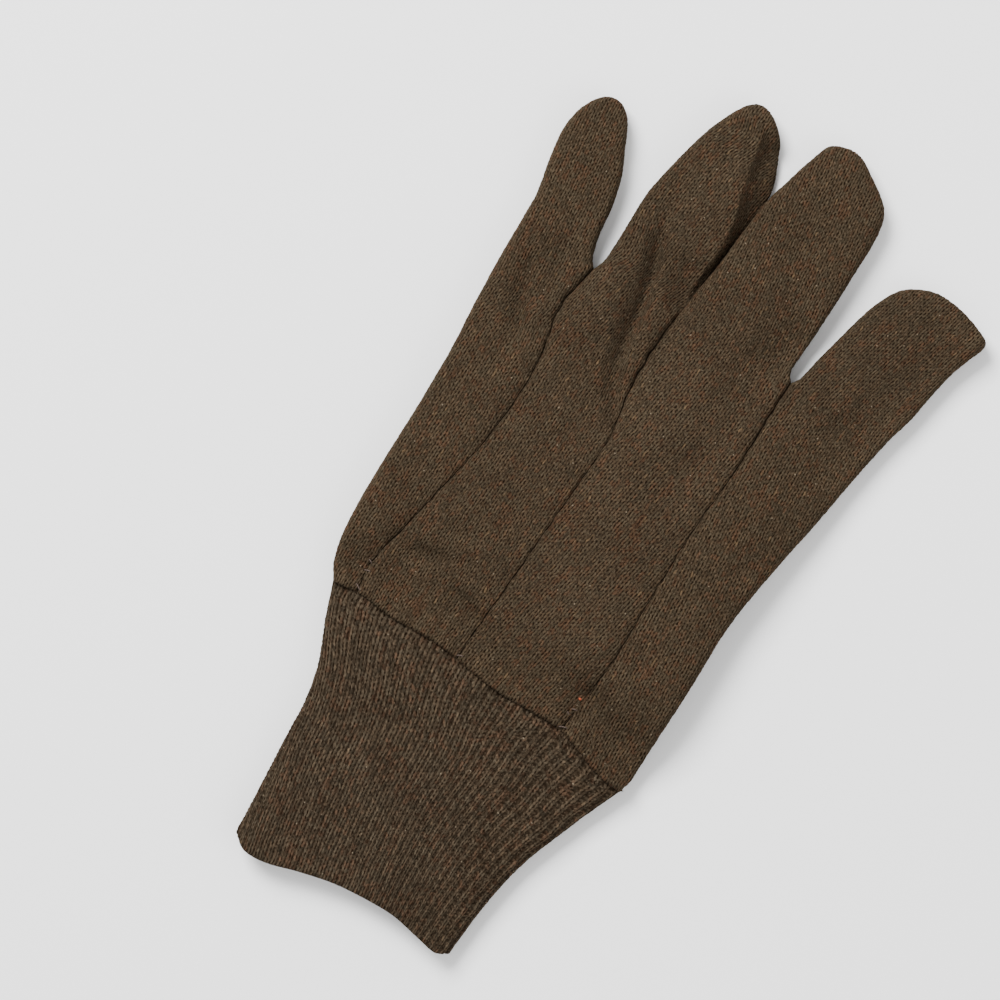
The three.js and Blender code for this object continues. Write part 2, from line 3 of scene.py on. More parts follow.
import bpy
import numpy as np
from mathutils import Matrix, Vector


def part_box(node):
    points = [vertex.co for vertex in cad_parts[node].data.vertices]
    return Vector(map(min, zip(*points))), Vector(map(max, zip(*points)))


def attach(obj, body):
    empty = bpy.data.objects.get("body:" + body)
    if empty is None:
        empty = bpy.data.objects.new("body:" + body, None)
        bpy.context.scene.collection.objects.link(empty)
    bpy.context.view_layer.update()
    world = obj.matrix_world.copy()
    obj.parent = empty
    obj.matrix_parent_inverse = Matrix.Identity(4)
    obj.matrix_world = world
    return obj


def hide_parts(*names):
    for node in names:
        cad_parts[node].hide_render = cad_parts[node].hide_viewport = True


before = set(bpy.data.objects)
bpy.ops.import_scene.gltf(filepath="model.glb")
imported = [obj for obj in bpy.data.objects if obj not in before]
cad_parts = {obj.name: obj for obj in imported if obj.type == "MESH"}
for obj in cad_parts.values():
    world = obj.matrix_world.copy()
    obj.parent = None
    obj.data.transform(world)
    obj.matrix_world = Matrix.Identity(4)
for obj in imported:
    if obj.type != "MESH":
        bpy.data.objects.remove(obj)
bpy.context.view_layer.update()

mm = 0.001

# The view
# The glove lies on a pale floor and is seen straight from above, with its fingers to the upper right,
# under a large soft light from the upper left. The picture is square and 288 mm wide.
picture_width = 288 * mm
picture_centre = (-23.2 * mm, -7.7 * mm)
picture_turn = math.radians(34)
camera_height = 1600 * mm
glove_middle = 8 * mm
camera_data = bpy.data.cameras.new("camera")
camera_data.lens = camera_data.sensor_width * camera_height / picture_width
camera = bpy.data.objects.new("camera", camera_data)
camera.location = (*picture_centre, camera_height + glove_middle)
camera.rotation_euler = (0, 0, picture_turn)
bpy.context.scene.collection.objects.link(camera)
bpy.context.scene.camera = camera

floor_size = 6.0
floor_drop = 0.15 * mm
bpy.ops.object.select_all(action="DESELECT")
bpy.ops.mesh.primitive_plane_add(size=floor_size, location=(0, 0, -floor_drop))
floor = bpy.context.object
floor.name = "floor"
floor_material = bpy.data.materials.new("pale_floor")
floor_material.use_nodes = True
floor_shader = floor_material.node_tree.nodes["Principled BSDF"]
floor_shader.inputs["Base Color"].default_value = (0.92, 0.92, 0.92, 1)
floor_shader.inputs["Roughness"].default_value = 0.9
floor_shader.inputs["Specular IOR Level"].default_value = 0.1
floor.data.materials.append(floor_material)

world = bpy.data.worlds.new("studio")
world.use_nodes = True
world.node_tree.nodes["Background"].inputs["Color"].default_value = (1.0, 1.0, 1.0, 1)
world.node_tree.nodes["Background"].inputs["Strength"].default_value = 1.0
bpy.context.scene.world = world


def soft_light(name, turn, rise, distance, size, power):
    """A square soft light that looks at the glove. Its turn is anticlockwise from the picture's right."""
    angle = math.radians(turn) + picture_turn
    level = distance * math.cos(math.radians(rise))
    data = bpy.data.lights.new(name, "AREA")
    data.size = size
    data.energy = power
    light = bpy.data.objects.new(name, data)
    light.location = (
        picture_centre[0] + level * math.cos(angle),
        picture_centre[1] + level * math.sin(angle),
        distance * math.sin(math.radians(rise)),
    )
    light.rotation_euler = (math.radians(90 - rise), 0, angle + math.radians(90))
    bpy.context.scene.collection.objects.link(light)


soft_light("key_light", turn=120, rise=50, distance=1.8, size=0.8, power=76)
soft_light("fill_light", turn=-35, rise=32, distance=2.2, size=1.8, power=22)

# The palm panel
# The front of the hand and of all four fingers is one panel of brown cotton jersey. Its edges turn up
# round the sides of the glove, where they are sewn to the strips of the back.
hand_width = 110
hand_length = 120
hand_thickness = 9.6
finger_thickness = 8.8
edge_roll = 3.2
tip_roll = 9
side_exponent = 2.4
edge_exponent = 3.0
thumb_length = 64
thumb_width = 31
thumb_thickness = 7.8
thumb_hole_length = 20
thumb_lean = math.radians(13)
thumb_hole = np.array([35, 31])
thumb_ease = 4
thumb_fall = 16
back_rise = 6.5
back_fall = 32
seam_gap = 0.3


def table(names, *rows):
    """A table with named columns."""
    return {name: np.array(values, float) for name, values in zip(names.split(), zip(*rows))}


def read(columns, name, at):
    """Reads one column of a table anywhere between its rows, on a smooth curve through them."""
    places, values = columns["at"], columns[name]
    before = np.maximum(np.arange(len(places)) - 1, 0)
    after = np.minimum(np.arange(len(places)) + 1, len(places) - 1)
    slopes = (values[after] - values[before]) / (places[after] - places[before])
    at = np.clip(at, places[0], places[-1])
    i = np.clip(np.searchsorted(places, at, side="right") - 1, 0, len(places) - 2)
    span = places[i + 1] - places[i]
    t = (at - places[i]) / span
    ease = t * t * (3 - 2 * t)
    leave = t * (1 - t) ** 2 * span * slopes[i]
    arrive = t * t * (1 - t) * span * slopes[i + 1]
    return values[i] + (values[i + 1] - values[i]) * ease + leave - arrive


def smooth(value, low, high):
    """From 0 at low to 1 at high, with a soft start and end."""
    t = np.clip((value - low) / (high - low), 0, 1)
    return t * t * (3 - 2 * t)


def mix(low, high, share):
    return low + (high - low) * share


# The five lines along the hand, from the cuff seam to where each ends, as shares of its width.
hand_lines = table(
    "at    little_edge little_ring ring_middle middle_index index_edge",
    (0.00, -0.441, -0.364, -0.050, 0.280, 0.511),
    (0.08, -0.473, -0.375, -0.048, 0.286, 0.507),
    (0.17, -0.489, -0.360, -0.046, 0.291, 0.503),
    (0.29, -0.498, -0.339, -0.044, 0.289, 0.500),
    (0.45, -0.504, -0.312, -0.042, 0.278, 0.493),
    (0.62, -0.515, -0.299, -0.040, 0.275, 0.512),
    (0.75, -0.532, -0.310, -0.066, 0.280, 0.533),
    (0.88, -0.545, -0.339, -0.077, 0.276, 0.550),
    (1.00, -0.553, -0.323, -0.069, 0.273, 0.569),
)
line_ends = {
    "little_edge": 0.996,
    "little_ring": 0.965,
    "ring_middle": 1.029,
    "middle_index": 1.003,
    "index_edge": 1.013,
}
wrist_left = hand_width * hand_lines["little_edge"][0]
wrist_right = hand_width * hand_lines["index_edge"][0]

# The cuff seam's rise across the wrist, as a share of the hand's length.
cuff_seam = table(
    "at    rise",
    (0.00, -0.008),
    (0.09, 0.004),
    (0.19, 0.000),
    (0.35, 0.008),
    (0.47, -0.002),
    (0.57, -0.006),
    (0.74, 0.003),
    (0.82, -0.012),
    (0.91, -0.037),
    (1.00, -0.042),
)

# Each finger's outline from its crotches to its tip: how far its sides stand from where they start, as
# shares of its width there, and how much of the side is rounded, as shares of the full roll.
outline_columns = "at left right roll_left roll_right"
strips = {
    "little": {
        "left": "little_edge", "right": "little_ring", "length": 42.6,
        "outline": table(
            outline_columns,
            (0.00, 0.000, 0.000, 1, 0.7),
            (0.03, -0.003, -0.050, 1, 0.7),
            (0.08, -0.008, -0.098, 1, 0.8),
            (0.20, -0.043, -0.162, 1, 0.9),
            (0.40, -0.123, -0.221, 1, 1),
            (0.60, -0.178, -0.324, 1, 1),
            (0.75, -0.166, -0.458, 1, 1),
            (0.86, -0.111, -0.557, 1, 1),
            (0.94, -0.032, -0.652, 1, 1),
            (1.00, 0.150, -0.850, 1, 1),
        ),
    },
    "ring": {
        "left": "little_ring", "right": "ring_middle", "length": 62.6,
        "outline": table(
            outline_columns,
            (0.00, 0.000, 0.000, 0.6, 0.85),
            (0.03, 0.030, 0.006, 0.6, 0.9),
            (0.06, 0.050, 0.015, 0.7, 1.0),
            (0.20, 0.044, 0.045, 0.9, 1.15),
            (0.40, 0.025, 0.068, 1, 1.15),
            (0.60, 0.090, 0.095, 1, 1.1),
            (0.70, 0.136, 0.070, 1, 1),
            (0.80, 0.197, -0.022, 1, 1),
            (0.90, 0.290, -0.136, 1, 1),
            (0.96, 0.370, -0.270, 1, 1),
            (1.00, 0.520, -0.480, 1, 1),
        ),
    },
    "middle": {
        "left": "ring_middle", "right": "middle_index", "length": 64.1,
        "outline": table(
            outline_columns,
            (0.00, 0.000, 0.000, 0.5, 0.6),
            (0.02, 0.003, -0.032, 0.5, 0.6),
            (0.05, 0.010, -0.052, 0.5, 0.7),
            (0.20, 0.036, -0.050, 0.6, 0.9),
            (0.40, 0.050, -0.054, 0.8, 1),
            (0.60, 0.074, -0.066, 1, 1),
            (0.70, 0.114, -0.072, 1, 1),
            (0.80, 0.149, -0.098, 1, 1),
            (0.86, 0.178, -0.150, 1, 1),
            (0.91, 0.200, -0.255, 1, 1),
            (0.96, 0.240, -0.400, 1, 1),
            (1.00, 0.430, -0.570, 1, 1),
        ),
    },
    "index": {
        "left": "middle_index", "right": "index_edge", "length": 44.8,
        "outline": table(
            outline_columns,
            (0.00, 0.000, 0.000, 0.6, 1),
            (0.02, 0.022, 0.006, 0.7, 1),
            (0.05, 0.050, 0.014, 0.7, 1),
            (0.20, 0.085, 0.061, 0.9, 1),
            (0.40, 0.138, 0.095, 1, 1),
            (0.60, 0.193, 0.138, 1, 1),
            (0.75, 0.257, 0.196, 1, 1),
            (0.86, 0.333, 0.243, 1, 1),
            (0.91, 0.398, 0.220, 1, 1),
            (0.96, 0.510, 0.050, 1, 1),
            (1.00, 0.720, -0.280, 1, 1),
        ),
    },
}


def cuff_seam_y(x):
    """Where the cuff seam lies along the hand, at a place across it."""
    share = np.clip((x - wrist_left) / (wrist_right - wrist_left), 0, 1)
    return hand_length * read(cuff_seam, "rise", share)


def read_outline(outline, side, at):
    """Reads an outline. The squared distance from the tip makes the curve round there."""
    nearness = {"at": 1 - np.sqrt(1 - outline["at"]), side: outline[side]}
    return read(nearness, side, 1 - np.sqrt(1 - at))


def ripple(x, y, length, seed):
    """Soft uneven waves of about that length, between -1 and 1."""
    random = np.random.default_rng(seed)
    total = np.zeros(np.broadcast(x, y).shape)
    waves = 14
    for _ in range(waves):
        angle = random.uniform(0, 2 * np.pi)
        turns = 2 * np.pi / (length * random.uniform(0.7, 1.6))
        total += np.cos(turns * (x * np.cos(angle) + y * np.sin(angle)) + random.uniform(0, 2 * np.pi))
    return total / math.sqrt(2 * waves)


seam_waver = 0.22
seam_waver_length = 6
line_steps = np.linspace(0, 1, 161)
finger_steps = 1 - (1 - line_steps[1:]) ** 2
for strip in strips.values():
    for side in ("left", "right"):
        line_x = hand_width * read(hand_lines, strip[side], line_steps)
        line_y = mix(cuff_seam_y(line_x), hand_length * line_ends[strip[side]], line_steps)
        if not strip[side].endswith("edge"):
            waver = seam_waver * ripple(0, line_y, seam_waver_length, len(strip[side]))
            line_x = line_x + waver * smooth(line_steps, 1, 0.94)
        strip[side + "_line"] = (line_x, line_y)
    left_root = [line[-1] for line in strip["left_line"]]
    right_root = [line[-1] for line in strip["right_line"]]
    strip["tip"] = (left_root[1] + right_root[1]) / 2 + strip["length"]
    for side, root in (("left", left_root), ("right", right_root)):
        reach = (right_root[0] - left_root[0]) * read_outline(strip["outline"], side, finger_steps)
        finger_y = mix(root[1], strip["tip"], finger_steps)
        hand_x, hand_y = strip[side + "_line"]
        strip[side + "_crotch"] = root[1]
        strip[side + "_line"] = (np.append(hand_x, root[0] + reach), np.append(hand_y, finger_y))

# The whole glove is set against the left side and the top of the frame's box of the palm panel.
palm_low, palm_high = (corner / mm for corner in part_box("palm_panel"))
shift_x = palm_low.x - min(strip["left_line"][0].min() for strip in strips.values())
shift_y = palm_high.y - max(strip["tip"] for strip in strips.values())


def away_from_line(x, y, start, end):
    """The distance from a straight line, its side (-1 on the left, 1 on the right) and how far along it."""
    run = np.subtract(end, start)
    t = np.clip(((x - start[0]) * run[0] + (y - start[1]) * run[1]) / (run @ run), 0, 1)
    dx, dy = x - start[0] - t * run[0], y - start[1] - t * run[1]
    away = np.hypot(dx, dy)
    side = (dx * run[1] - dy * run[0]) / np.maximum(away * np.hypot(*run), 1e-9)
    return away, side, t


thumb_way = np.array([-math.sin(thumb_lean), math.cos(thumb_lean)])
thumb_end = thumb_hole + thumb_way * (thumb_length - thumb_width / 2)


def fade(distance, flat, fall):
    """1 within the flat distance, and beyond it a soft fall to 0."""
    return 0.5 + 0.5 * np.cos(np.pi * np.clip((distance - flat) / fall, 0, 1))


def palm_lift(x, y):
    """How far the thumb under the palm lifts it."""
    away, _, _ = away_from_line(x, y, thumb_hole, thumb_end)
    return (thumb_thickness + seam_gap) * fade(away, thumb_width / 2 + thumb_ease, thumb_fall)


def back_lift(x, y):
    """How far the back rises over the thumb."""
    away, _, _ = away_from_line(x, y, thumb_hole, thumb_end)
    return back_rise * fade(away, thumb_width / 3, back_fall)


def rounded(share, exponent=side_exponent):
    """How far a side has dropped, from 1 at its edge to 0 where the flat begins."""
    t = np.clip(share, 0, 1)
    return 1 - (1 - (1 - t) ** exponent) ** (1 / exponent)


# The jersey's knit: a stitch is a V of two legs, one wale wide and one course high.
wale = 1.66
course = 1.54
leg_slant = 0.5
stitch_relief = 0.42
stitch_level = 0.7
leg_table = 512
random_legs = np.random.default_rng(7).random((leg_table, leg_table))


def stitch_height(wales, courses):
    """The relief of the V stitches, from 0 in the pits between the legs to 1 on the legs."""
    across = 1 - 4 * np.abs(wales % 1 - 0.5)
    along = courses + 0.5 * leg_slant * across
    half_wale = np.floor(wales * 2).astype(int)
    row = np.floor(along).astype(int)
    leg = random_legs[half_wale % leg_table, row % leg_table]
    edge = np.abs(across) ** 2.4
    gap = 0.5 + 0.5 * np.cos(2 * np.pi * along)
    return np.clip(1 - 0.66 * edge * gap - 0.34 * edge - 0.12 * gap, 0, 1) * (0.8 + 0.4 * leg)


def knit_counts(x, y, grain):
    """Where a place lies in the knit, in wales across and courses along."""
    steps = np.linspace(-20, 200, 441)
    lean = np.radians(read(grain, "lean", steps))
    path = np.cumsum(np.tan(lean)) * (steps[1] - steps[0])
    rise = np.cumsum(1 / np.cos(lean)) * (steps[1] - steps[0])
    zero = grain["zero"][0] + np.interp(y, steps, path) - np.interp(0, steps, path)
    lean_here = np.radians(read(grain, "lean", y))
    pitch = read(grain, "wale", y) / np.cos(lean_here)
    courses = (np.interp(y, steps, rise) + (x - zero) * np.sin(lean_here)) / course
    return zero, pitch, courses


# The ring finger's right side has fallen in beside the middle finger, along this line.
fallen_line = (
    (-8.4, 124.5),
    (-8.8, 131.5),
    (-8.6, 142.5),
    (-9.6, 149.5),
    (-12.6, 158.5),
    (-14.6, 166.5),
    (-17.2, 176.5),
)
fallen_depth = 6.2
fallen_slope = 3.0
fallen_starts = (120, 130)
fallen_ends = (179, 172)


def fallen(x, y):
    """How far the ring finger's right side lies below the rest of it."""
    nearest = np.full(np.broadcast(x, y).shape, 1e9)
    beyond = np.zeros(nearest.shape)
    for start, end in zip(fallen_line, fallen_line[1:]):
        away, side, _ = away_from_line(x, y, start, end)
        beyond = np.where(away < nearest, away * side, beyond)
        nearest = np.minimum(nearest, away)
    drop = 1 - np.exp(-np.maximum(beyond, 0) / fallen_slope)
    return fallen_depth * drop * smooth(y, *fallen_starts) * smooth(y, *fallen_ends)


profile_share = (1 - np.cos(np.pi * np.linspace(0, 1, 121))) / 2
seam_wave_reach = 40
edge_turn = 2.2
edge_sink = 1.9
corner_inset = 1.1
corner_reach = 5
seam_pull = 0.3
seam_pull_length = 4.5
wrist_sink = 1.5
wrist_sink_fades = (20, 40)
wrist_sink_from_edge = (4, 10)

# The cloth is never quite flat. Each wave has its height, its length and its seed.
back_waves = ((0.28, 16, 3), (0.14, 7, 4))
palm_wave = (0.25, 18, 5)


def strip_profile(strip, layer, along, creases=None):
    """Points across a strip of the hand and finger, at each place along it, with their outward normals."""
    wave = (1 - smooth(along, 0, seam_wave_reach))[:, None]
    sides = {}
    for side in ("left", "right"):
        line_x, line_y = strip[side + "_line"]
        rough_x = np.interp(along, line_y, line_x)
        sides[side] = np.interp(along + wave[:, 0] * cuff_seam_y(rough_x), line_y, line_x)[:, None]
        if strip[side].endswith("edge"):
            inset = corner_inset * (1 - smooth(along, 0, corner_reach))[:, None]
            sides[side] += inset if side == "left" else -inset
    width = sides["right"] - sides["left"]
    x = sides["left"] + width * profile_share
    y = along[:, None] + wave * cuff_seam_y(x)
    tip_share = np.clip((strip["tip"] - y) / tip_roll, 0, 1)
    full = 1 - rounded(tip_share)
    thick = mix(hand_thickness, finger_thickness, smooth(y, 0.7 * hand_length, hand_length))
    low, high = palm_lift(x, y), thick + back_lift(x, y)
    if strip["right"] == "ring_middle":
        high = high - fallen(x, y)
    from_edge = np.full_like(y, hand_width)
    if strip["left"] == "little_edge":
        from_edge = x - sides["left"]
    if strip["right"] == "index_edge":
        from_edge = sides["right"] - x
    middle, half = (low + high) / 2, (high - low) / 2 * full
    near_wrist = 1 - smooth(y, *wrist_sink_fades)
    lowest = middle - wrist_sink * near_wrist * smooth(from_edge, *wrist_sink_from_edge)
    if layer == "back":
        z = middle + half + (fold_height(x, y) + gathers(x, y)) * full
        z = z + sum(height * ripple(x, y, length, seed) for height, length, seed in back_waves) * full
    else:
        height, length, seed = palm_wave
        z = middle - half + height * (1 + ripple(x, y, length, seed)) * full
    z = np.where(layer == "back", np.maximum(z, lowest + 0.08 * half), np.minimum(z, middle - 0.2 * half))
    face = z.copy()
    for side, away in (("left", x - sides["left"]), ("right", sides["right"] - x)):
        crotch, outer = strip[side + "_crotch"], strip[side].endswith("edge")
        finger_at = (y - crotch) / (strip["tip"] - crotch)
        roll = edge_roll * read(strip["outline"], "roll_" + side, finger_at)
        # A seam of the hand is a narrow crease, and above its crotch it turns into a finger's free side.
        if outer:
            upright = np.ones_like(y)
        elif layer == "back":
            upright = smooth(y, crotch - 9, crotch + 3)
            narrow = read(creases[strip[side]], "width", y / hand_length)
            roll = mix(narrow, roll, smooth(y, crotch - 3, crotch + 9))
        else:
            upright = smooth(y, crotch - 5, crotch + 2)
            roll = mix(2.5, roll, smooth(y, crotch - 5, crotch + 9))
        sink = np.zeros_like(y)
        if creases and not outer:
            crease = creases[strip[side]]
            at = y / hand_length
            pull = seam_pull * (1 + 1.2 * (1 - smooth(y, 8, 24)))
            sink = read(crease, "sink", at) * (1 + pull * ripple(0, y, seam_pull_length, len(strip[side])))
            spread = read(crease, "spread_" + side, at)
            dip = read(crease, "dip_" + side, at) * np.exp(-((away / spread) ** 2))
            z = mix(z - dip, z, upright)
        drop = mix(sink, face - middle if layer == "back" else middle - face, upright)
        turned = drop * rounded(away / np.minimum(roll, width / 2 + 1e-6), edge_exponent)
        z = z - turned if layer == "back" else z + turned
    cuff_away = y - cuff_seam_y(x)
    tuck = edge_sink * rounded(cuff_away / edge_turn) * smooth(half, 0, 2)
    z = z - tuck if layer == "back" else z + tuck
    z = np.where(layer == "back", np.maximum(z, lowest), np.minimum(z, middle))
    points = np.stack([x, y, z], axis=-1)
    across, up = np.gradient(points, axis=1), np.gradient(points, axis=0)
    outward = 1.0 if layer == "back" else -1.0
    normals = np.cross(across, up) * outward
    length = np.linalg.norm(normals, axis=-1, keepdims=True)
    normals = np.where(length > 1e-12, normals / np.maximum(length, 1e-12), [0, 0, outward])
    return points, normals


def arc_across(points):
    """How far the points of each row lie from its first, over the cloth and straight across the glove."""
    moves = np.diff(points, axis=1)
    steps = np.cumsum(np.hypot(moves[..., 0], moves[..., 2]), axis=1)
    return np.concatenate([np.zeros((len(points), 1)), steps], axis=1)


def resample(places, arc, rows):
    """Reads each row of points, or of directions, at new places along it."""
    read_rows = np.empty((*places.shape, 3))
    for row in range(len(rows)):
        for axis in range(3):
            read_rows[row, :, axis] = np.interp(places[row], arc[row], rows[row, :, axis])
    return read_rows


def knit_strip(strip, layer, grain, per_wale, per_course, creases=None):
    """A strip as a grid whose columns follow the wales, with its stitches raised."""
    edge_rows = np.array([0, 0.01, 0.04, 0.1, 0.19, 0.32, 0.5, 0.74])
    middle_rows = np.arange(1, strip["tip"] - 0.1, course / per_course)
    tip_rows = strip["tip"] - 0.04 * np.array([1, 0])
    along = np.concatenate([edge_rows, middle_rows, tip_rows])
    points, normals = strip_profile(strip, layer, along, creases)
    arc = arc_across(points)
    zero, pitch, _ = knit_counts(points[:, 0, 0], along, grain)
    margin = np.minimum(2, (points[:, -1, 0] - points[:, 0, 0]) / 2)
    anchor = np.clip(zero, points[:, 0, 0] + margin, points[:, -1, 0] - margin)
    arc_anchor = np.array([np.interp(a, row, s) for a, row, s in zip(anchor, points[..., 0], arc)])
    count_anchor = (anchor - zero) / pitch
    first = np.floor(((0 - arc_anchor) / pitch + count_anchor).min() * per_wale)
    last = np.ceil(((arc[:, -1] - arc_anchor) / pitch + count_anchor).max() * per_wale)
    counts = np.arange(first, last + 1) / per_wale
    place = arc_anchor[:, None] + (counts[None, :] - count_anchor[:, None]) * pitch[:, None]
    place = np.clip(place, 0, arc[:, -1:])
    wales = count_anchor[:, None] + (place - arc_anchor[:, None]) / pitch[:, None] + grain["first"][0]
    grid, facing = resample(place, arc, points), resample(place, arc, normals)
    facing /= np.maximum(np.linalg.norm(facing, axis=-1, keepdims=True), 1e-9)
    _, _, courses = knit_counts(grid[..., 0], grid[..., 1], grain)
    wales = wales + 0.07 * ripple(grid[..., 0], grid[..., 1], 5, 21)
    courses = courses + 0.12 * ripple(grid[..., 0], grid[..., 1], 4, 22)
    relief = stitch_height(wales, courses)
    edge = np.minimum(place, arc[:, -1:] - place)
    calm = smooth(edge, 0, 0.5)[..., None]
    grid = grid + facing * ((relief - stitch_level) * stitch_relief)[..., None] * calm
    grid = grid + [shift_x, shift_y, 0]
    grid[..., 2] = np.maximum(grid[..., 2], 0)
    return grid, np.stack([wales, courses], axis=-1), relief


def add_cloth(name, grid, counts, relief, inward):
    """Adds a grid of cloth, moves its points into shape and merges what comes together at its edges."""
    rows, columns = grid.shape[:2]
    bpy.ops.object.select_all(action="DESELECT")
    bpy.ops.mesh.primitive_grid_add(x_subdivisions=columns - 1, y_subdivisions=rows - 1, size=1)
    piece = bpy.context.object
    piece.name = name
    mesh = piece.data
    flat = np.empty(len(mesh.vertices) * 3)
    mesh.vertices.foreach_get("co", flat)
    column = np.rint((flat[0::3] + 0.5) * (columns - 1)).astype(int)
    row = np.rint((flat[1::3] + 0.5) * (rows - 1)).astype(int)
    mesh.vertices.foreach_set("co", (grid[row, column] * mm).ravel())
    corner = np.empty(len(mesh.loops), int)
    mesh.loops.foreach_get("vertex_index", corner)
    mesh.uv_layers.active.data.foreach_set("uv", counts[row[corner], column[corner]].ravel())
    height = mesh.attributes.new("stitch", "FLOAT", "POINT")
    height.data.foreach_set("value", relief[row, column].ravel())
    bpy.ops.object.mode_set(mode="EDIT")
    bpy.ops.mesh.select_all(action="SELECT")
    if inward:
        bpy.ops.mesh.flip_normals()
    bpy.ops.mesh.remove_doubles(threshold=0.002 * mm)
    bpy.ops.mesh.delete_loose()
    bpy.ops.object.mode_set(mode="OBJECT")
    bpy.ops.object.shade_smooth()
    return piece


inner_share = 0.05


def add_wall(piece, wall, lining):
    """Gives the cloth its thickness. Its inner face is smoother, with fewer faces."""
    solidify = piece.modifiers.new("wall", "SOLIDIFY")
    solidify.thickness = wall * mm
    solidify.offset = -1
    solidify.material_offset = 1
    piece.data.materials.append(lining)
    bpy.ops.object.select_all(action="DESELECT")
    piece.select_set(True)
    bpy.context.view_layer.objects.active = piece
    bpy.ops.object.modifier_apply(modifier="wall")
    mesh = piece.data
    inner = np.empty(len(mesh.polygons), int)
    mesh.polygons.foreach_get("material_index", inner)
    for kind in (mesh.vertices, mesh.edges):
        kind.foreach_set("select", np.zeros(len(kind), bool))
    mesh.polygons.foreach_set("select", inner == 1)
    bpy.ops.object.mode_set(mode="EDIT")
    bpy.ops.mesh.select_mode(type="FACE")
    bpy.ops.mesh.decimate(ratio=inner_share)
    bpy.ops.object.mode_set(mode="OBJECT")


wander_reach = 0.4
# The pale colour of the stray fibre specks: partly the fibres' own lighter colour, partly painted highlight
# on the fuzz.
fibre_glint_colour = (0.098, 0.074, 0.050, 1)
nep_colour = (0.12, 0.095, 0.065, 1)
nep_spacing = 0.16


